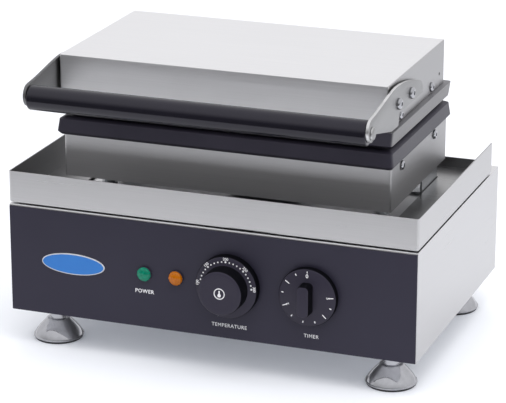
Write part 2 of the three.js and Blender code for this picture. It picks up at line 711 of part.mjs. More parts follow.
// Rectangular duct that carries wires and the sensor line up into the pedestal
function wiringDuct() {
  const halfX = DUCT_WIDTH / 2;
  const halfY = DUCT_DEPTH / 2;
  const low = cabinetTop - CABINET_SHEET - DUCT_BELOW;
  const high = pedestalBottom + PEDESTAL_SHEET + DUCT_ABOVE;
  const outer = block([-halfX, DUCT_Y - halfY, low], [halfX, DUCT_Y + halfY, high]);
  const flange = block(
    [-halfX - DUCT_FLANGE, DUCT_Y - halfY - DUCT_FLANGE, supportBottom],
    [halfX + DUCT_FLANGE, DUCT_Y + halfY + DUCT_FLANGE, supportBottom + DUCT_SHEET],
  );
  const hollow = block(
    [-halfX + DUCT_SHEET, DUCT_Y - halfY + DUCT_SHEET, low - OVERRUN],
    [halfX - DUCT_SHEET, DUCT_Y + halfY - DUCT_SHEET, high + OVERRUN],
  );
  return cut(joined(outer, flange), hollow);
}

// Places of the side screws: [side, y]
const screwPairs = (firstY, spacing) =>
  [-1, 1].flatMap((side) => [
    [side, firstY],
    [side, firstY + spacing],
  ]);
const pedestalScrews = screwPairs(PEDESTAL_SCREW_Y, PEDESTAL_SCREW_SPACING);
const coverScrews = screwPairs(COVER_SCREW_Y, COVER_SCREW_SPACING);
const bossZ = lowerPlateBottom - PLATE_BOSS_DROP / 2;
const coverScrewZ = coverBottom + COVER_SCREW_RISE;

// A hole across the machine, from inside a side wall outwards
function sideHole(side, radius, wall, length, y, z) {
  const start = side * (wall - length);
  return bore(radius, length + OVERRUN, [start, y, z], side > 0 ? "+x" : "-x", ROUND_SMALL);
}

// Pedestal: an open-topped box of folded sheet with rounded upright corners
function pedestal() {
  const outer = slab({
    width: pedestalWidth,
    depth: pedestalDepth,
    radius: PEDESTAL_BEND_RADIUS,
    centreY: pedestalCentreY,
    low: pedestalBottom,
    high: pedestalTop,
    curve: 3,
  });
  const inner = slab({
    width: pedestalWidth - 2 * PEDESTAL_SHEET,
    depth: pedestalDepth - 2 * PEDESTAL_SHEET,
    radius: PEDESTAL_BEND_RADIUS - PEDESTAL_SHEET,
    centreY: pedestalCentreY,
    low: pedestalBottom + PEDESTAL_SHEET,
    high: pedestalTop + OVERRUN,
    curve: 3,
  });
  const ductHole = block(
    [-DUCT_WIDTH / 2 - HOLE_GAP, DUCT_Y - DUCT_DEPTH / 2 - HOLE_GAP, pedestalBottom - OVERRUN],
    [DUCT_WIDTH / 2 + HOLE_GAP, DUCT_Y + DUCT_DEPTH / 2 + HOLE_GAP, pedestalBottom + PEDESTAL_SHEET + OVERRUN],
  );
  const holes = pedestalScrews.map(([side, y]) =>
    sideHole(side, SCREW_SHANK_RADIUS, pedestalSide, 2 * PEDESTAL_SHEET, y, bossZ),
  );
  const conduitHole = bore(
    GLAND_THREAD_RADIUS,
    PEDESTAL_SHEET + 2 * OVERRUN,
    [CONDUIT_X, pedestalBack - PEDESTAL_SHEET - OVERRUN, pedestalConduitZ],
    "+y",
  );
  return cut(outer, inner, ductHole, ...holes, conduitHole);
}
const pedestalBack = pedestalCentreY + pedestalDepth / 2;
const pedestalConduitZ = (pedestalBottom + pedestalTop) / 2;

// A four-sided stud or pit that narrows from its foot to its tip
function taper(foot, tip, height, place) {
  const half = Math.SQRT1_2;
  const geometry = new THREE.CylinderGeometry(tip.width * half, foot.width * half, height, 4, 1);
  geometry.rotateY(Math.PI / 4);
  geometry.rotateX(Math.PI / 2);
  geometry.scale(1, foot.depth / foot.width, 1);
  geometry.translate(place[0], place[1], place[2] + height / 2);
  return solidFrom(geometry);
}

// One waffle plate, drawn face up with its meeting plane at Z = 0: flange, raised field, two cavities with pegs
function waffleFace(flangeThickness, flangeShift, backChamferWidth, backChamferHeight) {
  const faceZ = -FLANGE_SPACE / 2;
  const backZ = faceZ - flangeThickness;
  const ring = (inset, z) => [PLATE_WIDTH - 2 * inset, PLATE_DEPTH - 2 * inset, PLATE_CORNER_RADIUS, z];
  const flange = stacked(
    [
      ring(backChamferWidth, backZ),
      ring(0, backZ + backChamferHeight),
      ring(PLATE_DRAFT, faceZ - PLATE_CHAMFER_HEIGHT),
      ring(PLATE_DRAFT + PLATE_CHAMFER_WIDTH, faceZ),
    ],
    PLATE_CENTRE_Y - flangeShift,
  );
  const field = slab({
    width: fieldWidth,
    depth: fieldDepth,
    radius: FIELD_CORNER_RADIUS,
    centreY: PLATE_CENTRE_Y,
    low: faceZ - OVERRUN,
    high: -FIELD_SPACE / 2,
    curve: 2,
  });
  const floor = -FIELD_SPACE / 2 - CAVITY_SINK;
  const mouth = { width: cavityWidth, depth: cavityDepth };
  const bed = { width: cavityWidth - 2 * CAVITY_DRAFT, depth: cavityDepth - 2 * CAVITY_DRAFT };
  const pitchX = bed.width / PEG_COLUMNS;
  const pitchY = bed.depth / PEG_ROWS;
  const root = { width: pitchX * PEG_FOOT_SHARE, depth: pitchY * PEG_FOOT_SHARE };
  const tip = { width: pitchX * PEG_TIP_SHARE, depth: pitchY * PEG_TIP_SHARE };
  const pits = [];
  const pegs = [];
  for (const side of [-1, 1]) {
    const centreX = (side * cavitySpacing) / 2;
    pits.push(taper(bed, mouth, CAVITY_SINK + OVERRUN, [centreX, PLATE_CENTRE_Y, floor]));
    for (let i = 0; i < PEG_COLUMNS; i++) {
      for (let j = 0; j < PEG_ROWS; j++) {
        const x = centreX + (i - (PEG_COLUMNS - 1) / 2) * pitchX;
        const y = PLATE_CENTRE_Y + (j - (PEG_ROWS - 1) / 2) * pitchY;
        pegs.push(taper(root, tip, PEG_HEIGHT + OVERRUN, [x, y, floor - OVERRUN]));
      }
    }
  }
  return joined(cut(joined(flange, field), ...pits), ...pegs);
}

// A hinge ear: a round eye on the pin with a root that runs forward into the plate's edge
function hingeEar(fromX, toX, rootLow, rootHigh, plateEdge) {
  const eye = rod(HINGE_EAR_RADIUS, toX - fromX, [fromX, hingeY, platePlane], "+x", ROUND_MEDIUM);
  const root = block([fromX, plateEdge - HINGE_EAR_ROOT, rootLow], [toX, hingeY, rootHigh]);
  return joined(eye, root);
}

// X ranges of the ears round each pin: the lid's knuckle between two ears of the lower plate
const hingeCentres = [-HINGE_SPACING / 2, HINGE_SPACING / 2];
const knuckleHalf = HINGE_KNUCKLE_WIDTH / 2;
const earInner = knuckleHalf + HINGE_SIDE_GAP;
const earOuter = earInner + HINGE_EAR_WIDTH;

function pinBore(centre) {
  const length = 2 * (earOuter + OVERRUN);
  return bore(HINGE_PIN_RADIUS, length, [centre - length / 2, hingeY, platePlane], "+x");
}

// Lower plate: waffle face up, hinge ears behind, and bosses below for the pedestal's screws and the heater clamps
function lowerPlate() {
  const face = waffleFace(
    LOWER_FLANGE_THICKNESS,
    0,
    LOWER_FOOT_CHAMFER_WIDTH,
    LOWER_FOOT_CHAMFER_HEIGHT,
  ).translate(0, 0, platePlane);
  const earLow = platePlane - HINGE_EAR_RADIUS;
  const ears = hingeCentres.flatMap((centre) => [
    hingeEar(centre - earOuter, centre - earInner, earLow, lowerFlangeTop, plateBack),
    hingeEar(centre + earInner, centre + earOuter, earLow, lowerFlangeTop, plateBack),
  ]);
  const wallInner = pedestalSide - PEDESTAL_SHEET - SEAT_GAP;
  const bosses = pedestalScrews.map(([side, y]) => {
    const inner = side * (wallInner - PLATE_BOSS_LENGTH);
    const outer = side * wallInner;
    return block(
      [Math.min(inner, outer), y - PLATE_BOSS_WIDTH / 2, lowerPlateBottom - PLATE_BOSS_DROP],
      [Math.max(inner, outer), y + PLATE_BOSS_WIDTH / 2, lowerPlateBottom + OVERRUN],
    );
  });
  const bores = pedestalScrews.map(([side, y]) =>
    sideHole(side, SCREW_SHANK_RADIUS, wallInner, SCREW_SHANK_LENGTH, y, bossZ),
  );
  const posts = clampPosts(lowerPlateBottom, -1);
  return cut(joined(face, ...ears, ...bosses, ...posts), ...hingeCentres.map(pinBore), ...bores);
}

// Upper plate: the same face turned over, with one hinge knuckle between each pair of ears
function upperPlate() {
  const face = waffleFace(UPPER_FLANGE_THICKNESS, UPPER_FLANGE_FORWARD, UPPER_BACK_CHAMFER, UPPER_BACK_CHAMFER)
    .mirror([0, 0, 1])
    .translate(0, 0, platePlane);
  const earHigh = platePlane + HINGE_EAR_RADIUS;
  const edge = plateBack - UPPER_FLANGE_FORWARD;
  const knuckles = hingeCentres.map((centre) =>
    hingeEar(centre - knuckleHalf, centre + knuckleHalf, upperFlangeBottom, earHigh, edge),
  );
  const posts = clampPosts(upperPlateTop, 1);
  const lugs = coverScrews.map(([side, y]) => {
    const wallInner = coverSide - COVER_SHEET - SEAT_GAP;
    const inner = side * (wallInner - PLATE_BOSS_LENGTH);
    const outer = side * wallInner;
    const top = coverScrewZ + SCREW_HEAD_RADIUS;
    return block(
      [Math.min(inner, outer), y - PLATE_BOSS_WIDTH / 2, upperPlateTop - OVERRUN],
      [Math.max(inner, outer), y + PLATE_BOSS_WIDTH / 2, top],
    );
  });
  const bores = coverScrews.map(([side, y]) =>
    sideHole(side, SCREW_SHANK_RADIUS, coverSide, SCREW_SHANK_LENGTH, y, coverScrewZ),
  );
  return cut(joined(face, ...knuckles, ...posts, ...lugs), ...hingeCentres.map(pinBore), ...bores);
}

// A hinge pin with a head at its outer end
function hingePin(side) {
  const centre = (side * HINGE_SPACING) / 2;
  const head = earOuter + HINGE_SIDE_GAP;
  return turned(
    [
      [HINGE_PIN_RADIUS, 0],
      [HINGE_PIN_RADIUS, head + earOuter],
      [HINGE_PIN_HEAD_RADIUS, head + earOuter],
      [HINGE_PIN_HEAD_RADIUS, head + earOuter + HINGE_PIN_HEAD_HEIGHT],
    ],
    [centre - side * earOuter, hingeY, platePlane],
    side > 0 ? "+x" : "-x",
    ROUND_MEDIUM,
  );
}

// Lid cover: an open-bottomed box of folded sheet
function lidCover() {
  const outer = slab({
    width: coverWidth,
    depth: coverDepth,
    radius: COVER_BEND_RADIUS,
    centreY: coverCentreY,
    low: coverBottom - 2 * COVER_BEND_RADIUS,
    high: coverTop,
    edge: COVER_BEND_RADIUS,
    edgeSteps: 2,
    curve: 2,
  });
  const inner = block(
    [-coverSide + COVER_SHEET, coverBack - coverDepth + COVER_SHEET, coverBottom - 3 * COVER_BEND_RADIUS],
    [coverSide - COVER_SHEET, coverBack - COVER_SHEET, coverTop - COVER_SHEET],
  );
  const below = block(
    [-coverSide - OVERRUN, coverCentreY - coverDepth, coverBottom - 3 * COVER_BEND_RADIUS],
    [coverSide + OVERRUN, coverCentreY + coverDepth, coverBottom],
  );
  const screwHoles = coverScrews.map(([side, y]) =>
    sideHole(side, SCREW_SHANK_RADIUS, coverSide, 2 * COVER_SHEET, y, coverScrewZ),
  );
  const boltHoles = bracketBolts.map(([side, y]) =>
    sideHole(side, BOLT_SHANK_RADIUS, coverSide, 2 * COVER_SHEET, y, bracketBoltZ),
  );
  const conduitHole = bore(
    GLAND_THREAD_RADIUS,
    COVER_SHEET + 2 * OVERRUN,
    [CONDUIT_X, coverBack - COVER_SHEET - OVERRUN, coverConduitZ],
    "+y",
  );
  return cut(outer, inner, below, ...screwHoles, ...boltHoles, conduitHole);
}
const coverBack = coverCentreY + coverDepth / 2;
const coverConduitZ = (coverBottom + coverTop) / 2;
const bracketBoltZ = handleZ + BRACKET_BOLT_RISE;
const bracketBolts = screwPairs(HANDLE_AXIS_Y + BRACKET_BOLT_NEAR, BRACKET_BOLT_SPACING);

// Side bracket: a sail-shaped plate that sweeps up from the handle's end to a crest and back along the cover
function bracketOutline() {
  const noseZ = handleZ + BRACKET_NOSE_LIFT;
  const low = handleZ - BRACKET_DROP;
  const y = (share) => HANDLE_AXIS_Y + share * BRACKET_LENGTH;
  const crest = noseZ + BRACKET_CREST_RISE;
  const rearZ = noseZ + BRACKET_REAR_RISE;
  const noseStart = Math.asin((low - noseZ) / BRACKET_NOSE_RADIUS);
  const crestY = y(BRACKET_CREST_SHARE);
  const rearY = y(BRACKET_REAR_SHARE);
  const outline = new THREE.Shape();
  outline.moveTo(y(1), low);
  outline.quadraticCurveTo(y(1), noseZ + BRACKET_REAR_RISE / 2, rearY, rearZ);
  outline.bezierCurveTo(
    (crestY + 3 * rearY) / 4,
    (crest + rearZ) / 2,
    (2 * crestY + rearY) / 3,
    crest,
    crestY,
    crest,
  );
  outline.bezierCurveTo(
    (y(BRACKET_SHOULDER_SHARE) + 2 * crestY) / 3,
    crest,
    y(BRACKET_SHOULDER_SHARE),
    noseZ + BRACKET_SHOULDER_RISE,
    HANDLE_AXIS_Y,
    noseZ + BRACKET_NOSE_RADIUS,
  );
  outline.absarc(HANDLE_AXIS_Y, noseZ, BRACKET_NOSE_RADIUS, Math.PI / 2, 2 * Math.PI + noseStart);
  return outline;
}

// The bracket stands off the cover on two round pads pressed into it at its bolts
function bracket(side) {
  const fromX = side > 0 ? bracketInner : -bracketOuter;
  const pads = bracketBolts
    .filter(([boltSide]) => boltSide === side)
    .map(([, y]) =>
      rod(
        BRACKET_PAD_RADIUS,
        BRACKET_STANDOFF,
        [side * (coverSide + SEAT_GAP), y, bracketBoltZ],
        side > 0 ? "+x" : "-x",
        ROUND_SMALL,
      ),
    );
  const plate = joined(sidePlate(bracketOutline(), fromX, fromX + BRACKET_SHEET, 6), ...pads);
  const boltHoles = bracketBolts
    .filter(([boltSide]) => boltSide === side)
    .map(([, y]) =>
      sideHole(side, BOLT_SHANK_RADIUS, bracketOuter, BRACKET_SHEET + BRACKET_STANDOFF + OVERRUN, y, bracketBoltZ),
    );
  const tipHole = sideHole(
    side,
    HANDLE_BOLT_SHANK_RADIUS,
    bracketOuter,
    BRACKET_SHEET + OVERRUN,
    HANDLE_AXIS_Y,
    handleZ,
  );
  return cut(plate, ...boltHoles, tipHole);
}

// Bar handle between the bracket tips, drilled at both ends for its bolts
function handle() {
  const half = bracketInner - SEAT_GAP;
  const bar = turned(
    [
      [HANDLE_RADIUS - HANDLE_END_ROUND, 0],
      [HANDLE_RADIUS, HANDLE_END_ROUND],
      [HANDLE_RADIUS, 2 * half - HANDLE_END_ROUND],
      [HANDLE_RADIUS - HANDLE_END_ROUND, 2 * half],
    ],
    [-half, HANDLE_AXIS_Y, handleZ],
    "+x",
    ROUND_FINE,
  );
  const drilled = [-1, 1].map((side) =>
    sideHole(side, HANDLE_BOLT_SHANK_RADIUS, half, HANDLE_BOLT_LENGTH, HANDLE_AXIS_Y, handleZ),
  );
  return cut(bar, ...drilled);
}

// A domed screw through a side wall, its head seated on the wall's outer face
function sideScrew({ side, wall, y, z, headRadius, headHeight, shankRadius, shankLength }) {
  const seat = wall + SEAT_GAP;
  const length = seat - (wall - shankLength);
  return turned(
    [
      [shankRadius, SEAT_GAP],
      [shankRadius, length],
      [headRadius, length],
      [headRadius, length + headHeight / 2],
      [headRadius * HEAD_CROWN_SHARE, length + headHeight],
    ],
    [side * (wall - shankLength), y, z],
    side > 0 ? "+x" : "-x",
    ROUND_SMALL,
  );
}

const pedestalScrew = ([side, y]) =>
  sideScrew({
    side,
    wall: pedestalSide,
    y,
    z: bossZ,
    headRadius: SCREW_HEAD_RADIUS,
    headHeight: SCREW_HEAD_HEIGHT,
    shankRadius: SCREW_SHANK_RADIUS,
    shankLength: SCREW_SHANK_LENGTH,
  });

const coverScrew = ([side, y]) =>
  sideScrew({
    side,
    wall: coverSide,
    y,
    z: coverScrewZ,
    headRadius: SCREW_HEAD_RADIUS,
    headHeight: SCREW_HEAD_HEIGHT,
    shankRadius: SCREW_SHANK_RADIUS,
    shankLength: SCREW_SHANK_LENGTH - OVERRUN,
  });

const bracketBolt = ([side, y]) =>
  sideScrew({
    side,
    wall: bracketOuter,
    y,
    z: bracketBoltZ,
    headRadius: BOLT_HEAD_RADIUS,
    headHeight: BOLT_HEAD_HEIGHT,
    shankRadius: BOLT_SHANK_RADIUS,
    shankLength: BOLT_SHANK_LENGTH,
  });

const handleBolt = (side) =>
  sideScrew({
    side,
    wall: bracketOuter,
    y: HANDLE_AXIS_Y,
    z: handleZ,
    headRadius: HANDLE_BOLT_HEAD_RADIUS,
    headHeight: HANDLE_BOLT_HEAD_HEIGHT,
    shankRadius: HANDLE_BOLT_SHANK_RADIUS,
    shankLength: HANDLE_BOLT_LENGTH,
  });

// A tubular heater bent into four runs, with both tails turned away from the plate at its left end
function heaterPath(z, away) {
  const half = heaterRunLength / 2;
  const bend = heaterRunSpacing / 2;
  const runs = [-1.5, -0.5, 0.5, 1.5].map((share) => PLATE_CENTRE_Y + share * heaterRunSpacing);
  const path = new THREE.CurvePath();
  const line = (a, b) => path.add(new THREE.LineCurve3(a, b));
  const turn = (x, from, to, bulge) => {
    const outX = x + bulge * bend * (4 / 3);
    path.add(
      new THREE.CubicBezierCurve3(
        new THREE.Vector3(x, from, z),
        new THREE.Vector3(outX, from, z),
        new THREE.Vector3(outX, to, z),
        new THREE.Vector3(x, to, z),
      ),
    );
  };
  const tail = (y, outwards) => {
    const end = new THREE.Vector3(-half - bend, y, z + away * HEATER_TAIL_LENGTH);
    const corner = new THREE.Vector3(-half - bend, y, z);
    const start = new THREE.Vector3(-half, y, z);
    path.add(
      outwards ? new THREE.QuadraticBezierCurve3(start, corner, end) : new THREE.QuadraticBezierCurve3(end, corner, start),
    );
  };
  tail(runs[0], false);
  line(new THREE.Vector3(-half, runs[0], z), new THREE.Vector3(half, runs[0], z));
  turn(half, runs[0], runs[1], 1);
  line(new THREE.Vector3(half, runs[1], z), new THREE.Vector3(-half, runs[1], z));
  turn(-half, runs[1], runs[2], -1);
  line(new THREE.Vector3(-half, runs[2], z), new THREE.Vector3(half, runs[2], z));
  turn(half, runs[2], runs[3], 1);
  line(new THREE.Vector3(half, runs[3], z), new THREE.Vector3(-half, runs[3], z));
  tail(runs[3], true);
  return path;
}

const heaterOffset = HEATER_RADIUS + SEAT_GAP;
const lowerHeaterZ = lowerPlateBottom - heaterOffset;
const upperHeaterZ = upperPlateTop + heaterOffset;
const heaterSteps = 36;

// Threaded posts on a plate that the heater's clamp bar is pulled up to
function clampPosts(plateZ, away) {
  const height = 2 * heaterOffset;
  return [-1, 1].map((side) =>
    rod(
      CLAMP_POST_RADIUS,
      height + OVERRUN,
      [0, clampPostY(side), plateZ - away * OVERRUN],
      away > 0 ? "+z" : "-z",
      ROUND_SMALL,
    ),
  );
}
const clampPostY = (side) => PLATE_CENTRE_Y + side * (1.5 * heaterRunSpacing + CLAMP_REACH);

// The clamp bar across all four runs, resting on its two posts
function clampBar(plateZ, away) {
  const near = plateZ + away * (2 * heaterOffset + SEAT_GAP);
  const far = near + away * CLAMP_THICKNESS;
  return block(
    [-CLAMP_WIDTH / 2, clampPostY(-1) - CLAMP_POST_RADIUS, Math.min(near, far)],
    [CLAMP_WIDTH / 2, clampPostY(1) + CLAMP_POST_RADIUS, Math.max(near, far)],
  );
}

// Pilot lamp: a barrel through the front with a bezel outside, and a domed lens in the bezel
function lampBody(x) {
  const outside = fasciaFront - SEAT_GAP;
  const reach = outside - LAMP_BEZEL_HEIGHT;
  const barrel = turned(
    [
      [LAMP_BARREL_RADIUS, 0],
      [LAMP_BARREL_RADIUS, LAMP_BARREL_LENGTH],
      [LAMP_BEZEL_RADIUS, LAMP_BARREL_LENGTH],
      [LAMP_BEZEL_RADIUS, LAMP_BARREL_LENGTH + LAMP_BEZEL_HEIGHT],
    ],
    [x, outside + LAMP_BARREL_LENGTH, controlZ],
    "-y",
    ROUND_MEDIUM,
  );
  const socket = bore(
    LAMP_SPIGOT_RADIUS,
    LAMP_LENS_SINK + OVERRUN + SEAT_GAP,
    [x, reach + LAMP_LENS_SINK + SEAT_GAP, controlZ],
    "-y",
  );
  return cut(barrel, socket);
}

function lampLens(x) {
  const bezelFace = fasciaFront - SEAT_GAP - LAMP_BEZEL_HEIGHT;
  const start = LAMP_LENS_SINK;
  const base = start + SEAT_GAP;
  const dome = [];
  const domeSteps = 3;
  for (let i = 0; i < domeSteps; i++) {
    const angle = (i / domeSteps) * (Math.PI / 2);
    dome.push([LAMP_LENS_RADIUS * Math.cos(angle), base + LAMP_LENS_RISE * Math.sin(angle)]);
  }
  return turned(
    [[LAMP_SPIGOT_RADIUS, 0], [LAMP_SPIGOT_RADIUS, base], ...dome],
    [x, bezelFace + start, controlZ],
    "-y",
    ROUND_MEDIUM,
  );
}

// Temperature knob: a wide skirt that carries the scale, with a smooth round grip on it
function temperatureKnob() {
  const grip = DIAL_HEIGHT + TEMPERATURE_GRIP_HEIGHT;
  const body = turned(
    [
      [DIAL_RADIUS, 0],
      [DIAL_RADIUS, DIAL_HEIGHT - 2 * DIAL_EDGE],
      [DIAL_RADIUS - DIAL_EDGE, DIAL_HEIGHT - DIAL_EDGE],
      [TEMPERATURE_GRIP_RADIUS, DIAL_HEIGHT],
      [TEMPERATURE_GRIP_RADIUS - GRIP_EDGE / 3, grip - GRIP_EDGE],
      [TEMPERATURE_GRIP_RADIUS - GRIP_EDGE, grip - GRIP_EDGE / 4],
      [TEMPERATURE_GRIP_RADIUS - 2 * GRIP_EDGE, grip],
    ],
    [TEMPERATURE_X, knobBack, controlZ],
    "-y",
    ROUND_FINE,
  );
  return cut(body, knobSocket(TEMPERATURE_X));
}
const knobBack = fasciaFront - SEAT_GAP;

// The blind bore in a knob's back
const knobSocket = (x) =>
  bore(SHAFT_RADIUS, KNOB_SOCKET_DEPTH + OVERRUN, [x, knobBack + OVERRUN, controlZ], "-y");

// Timer knob: a flat dial with a raised hub and a bar grip across it
function timerKnob() {
  const dial = turned(
    [
      [TIMER_DIAL_RADIUS, 0],
      [TIMER_DIAL_RADIUS, TIMER_DIAL_HEIGHT - DIAL_EDGE],
      [TIMER_DIAL_RADIUS - DIAL_EDGE, TIMER_DIAL_HEIGHT],
      [TIMER_HUB_RADIUS, TIMER_DIAL_HEIGHT + DIAL_EDGE / 2],
      [TIMER_HUB_RADIUS * TIMER_HUB_CROWN_SHARE, TIMER_DIAL_HEIGHT + 2 * DIAL_EDGE],
    ],
    [TIMER_X, knobBack, controlZ],
    "-y",
    ROUND_FINE,
  );
  const barHeight = TIMER_BAR_HEIGHT + TIMER_DIAL_HEIGHT / 2;
  const geometry = new THREE.ExtrudeGeometry(
    roundedRectangle(
      TIMER_BAR_WIDTH - 2 * TIMER_BAR_DRAFT,
      TIMER_BAR_LENGTH - 2 * TIMER_BAR_DRAFT,
      (TIMER_BAR_WIDTH - 2 * TIMER_BAR_DRAFT) / 3,
    ),
    {
      depth: barHeight - TIMER_BAR_DRAFT,
      bevelEnabled: true,
      bevelSize: TIMER_BAR_DRAFT,
      bevelThickness: TIMER_BAR_DRAFT,
      bevelSegments: 2,
      curveSegments: 2,
    },
  );
  turnTo["-y"](geometry);
  geometry.translate(TIMER_X, knobBack - TIMER_DIAL_HEIGHT / 2, controlZ);
  return cut(joined(dial, solidFrom(geometry)), knobSocket(TIMER_X));
}

// A control's shaft, from inside its body to inside its knob's hub
function shaft(x, bodyFront) {
  const tip = knobBack - KNOB_SOCKET_DEPTH + SEAT_GAP;
  const tail = bodyFront + SHAFT_BUSH_REACH + SHAFT_BUSH_RADIUS;
  return rod(SHAFT_RADIUS, tail - tip, [x, tail, controlZ], "-y", ROUND_SMALL);
}

const controlBack = cabinetFront + CABINET_SHEET + SEAT_GAP;

// The bush in front of a control body, and the bore for its shaft
function shaftBush(x, bodyFront) {
  const reach = bodyFront - (fasciaFront + FASCIA_SHEET / 2);
  return rod(SHAFT_BUSH_RADIUS, reach + OVERRUN, [x, bodyFront + OVERRUN, controlZ], "-y", ROUND_SMALL);
}
function shaftBore(x, bodyFront) {
  const depth = SHAFT_BUSH_REACH + SHAFT_BUSH_RADIUS + SEAT_GAP;
  const length = depth + bodyFront - fasciaFront + OVERRUN;
  return bore(SHAFT_RADIUS, length, [x, bodyFront + depth, controlZ], "-y");
}

// Thermostat: a box behind the front with a threaded bush for the shaft
function thermostatBody() {
  const body = block(
    [TEMPERATURE_X - THERMOSTAT_WIDTH / 2, controlBack, controlZ - THERMOSTAT_HEIGHT / 2],
    [TEMPERATURE_X + THERMOSTAT_WIDTH / 2, controlBack + THERMOSTAT_DEPTH, controlZ + THERMOSTAT_HEIGHT / 2],
  );
  return cut(joined(body, shaftBush(TEMPERATURE_X, controlBack)), shaftBore(TEMPERATURE_X, controlBack));
}

// Timer: a round clockwork case on a mounting plate
function timerBody() {
  const plate = block(
    [TIMER_X - TIMER_PLATE_WIDTH / 2, controlBack, controlZ - TIMER_PLATE_HEIGHT / 2],
    [TIMER_X + TIMER_PLATE_WIDTH / 2, controlBack + TIMER_PLATE_THICKNESS, controlZ + TIMER_PLATE_HEIGHT / 2],
  );
  const can = rod(TIMER_BODY_RADIUS, TIMER_BODY_DEPTH, [TIMER_X, controlBack, controlZ], "+y", ROUND_MEDIUM);
  return cut(joined(plate, can, shaftBush(TIMER_X, controlBack)), shaftBore(TIMER_X, controlBack));
}

// Sensor line: from the thermostat back and up through the duct to a bulb under the lower plate
function sensorLine() {
  const start = [TEMPERATURE_X, controlBack + THERMOSTAT_DEPTH + SEAT_GAP, controlZ];
  const bulbZ = lowerPlateBottom - BULB_RADIUS - SEAT_GAP;
  const ductFloor = cabinetTop - DUCT_BELOW;
  const bulbTip = BULB_TIP_MARGIN - (heaterRunLength + heaterRunSpacing) / 2;
  const bulbBase = bulbTip + BULB_LENGTH;
  const bulbStart = bulbBase + BULB_LENGTH / 5;
  const points = [
    start,
    [start[0], start[1] + CAPILLARY_RISE, controlZ],
    [start[0] / 2, DUCT_Y - DUCT_DEPTH, controlZ],
    [0, DUCT_Y - DUCT_DEPTH / 4, ductFloor - CAPILLARY_RISE / 2],
    [0, DUCT_Y, ductFloor + CAPILLARY_RISE / 2],
    [0, DUCT_Y, pedestalBottom + DUCT_ABOVE],
    [bulbStart / 4, DUCT_Y - DUCT_DEPTH / 4, (pedestalBottom + bulbZ) / 2 - CAPILLARY_RADIUS],
    [bulbStart / 2, PLATE_CENTRE_Y + heaterRunSpacing / 4, (pedestalBottom + bulbZ) / 2 + CAPILLARY_RADIUS],
    [bulbStart * BULB_BEND_SHARE, PLATE_CENTRE_Y, bulbZ - BULB_RADIUS],
    [bulbStart - BULB_LENGTH / 4, PLATE_CENTRE_Y, bulbZ],
  ];
  const path = new THREE.CatmullRomCurve3(points.map((p) => new THREE.Vector3(...p)), false, "centripetal");
  const bulb = rod(BULB_RADIUS, BULB_LENGTH, [bulbBase, PLATE_CENTRE_Y, bulbZ], "-x", ROUND_SMALL);
  return joined(tube(path, CAPILLARY_RADIUS, 26, 3), bulb);
}

// Safety cut-out: a small round switch with a flange, against the pedestal's floor
function safetyCutout() {
  const seat = pedestalBottom + PEDESTAL_SHEET + SEAT_GAP;
  const can = rod(CUTOUT_RADIUS, CUTOUT_HEIGHT, [CUTOUT_X, STANDOFF_Y, seat], "+z", ROUND_SMALL);
  const flange = block(
    [CUTOUT_X - CUTOUT_FLANGE_LENGTH / 2, STANDOFF_Y - CUTOUT_FLANGE_WIDTH / 2, seat],
    [CUTOUT_X + CUTOUT_FLANGE_LENGTH / 2, STANDOFF_Y + CUTOUT_FLANGE_WIDTH / 2, seat + CUTOUT_FLANGE_THICKNESS],
  );
  return joined(can, flange);
}

// Ceramic terminal block on the base plate, with a wire bore and a screw well for each way
function terminalBlock() {
  const seat = cabinetBottom + CABINET_SHEET + SEAT_GAP;
  const y = cabinetBack - BASE_FLANGE - CABINET_FLANGE - TERMINAL_WIDTH;
  const body = block(
    [terminalX - TERMINAL_LENGTH / 2, y - TERMINAL_WIDTH / 2, seat],
    [terminalX + TERMINAL_LENGTH / 2, y + TERMINAL_WIDTH / 2, seat + TERMINAL_HEIGHT],
  );
  const pitch = TERMINAL_LENGTH / TERMINAL_WAYS;
  const cuts = [];
  for (let i = 0; i < TERMINAL_WAYS; i++) {
    const x = terminalX + (i - (TERMINAL_WAYS - 1) / 2) * pitch;
    cuts.push(
      rod(pitch / 4, TERMINAL_WIDTH + 2 * OVERRUN, [x, y - TERMINAL_WIDTH / 2 - OVERRUN, seat + TERMINAL_HEIGHT / 3], "+y", 8),
    );
    if (i === 0) continue;
    const edge = x - pitch / 2;
    cuts.push(
      block(
        [edge - SEAT_GAP * 3, y - TERMINAL_WIDTH / 2 - OVERRUN, seat + TERMINAL_HEIGHT / 2],
        [edge + SEAT_GAP * 3, y + TERMINAL_WIDTH / 2 + OVERRUN, seat + TERMINAL_HEIGHT + OVERRUN],
      ),
    );
  }
  return cut(body, ...cuts);
}

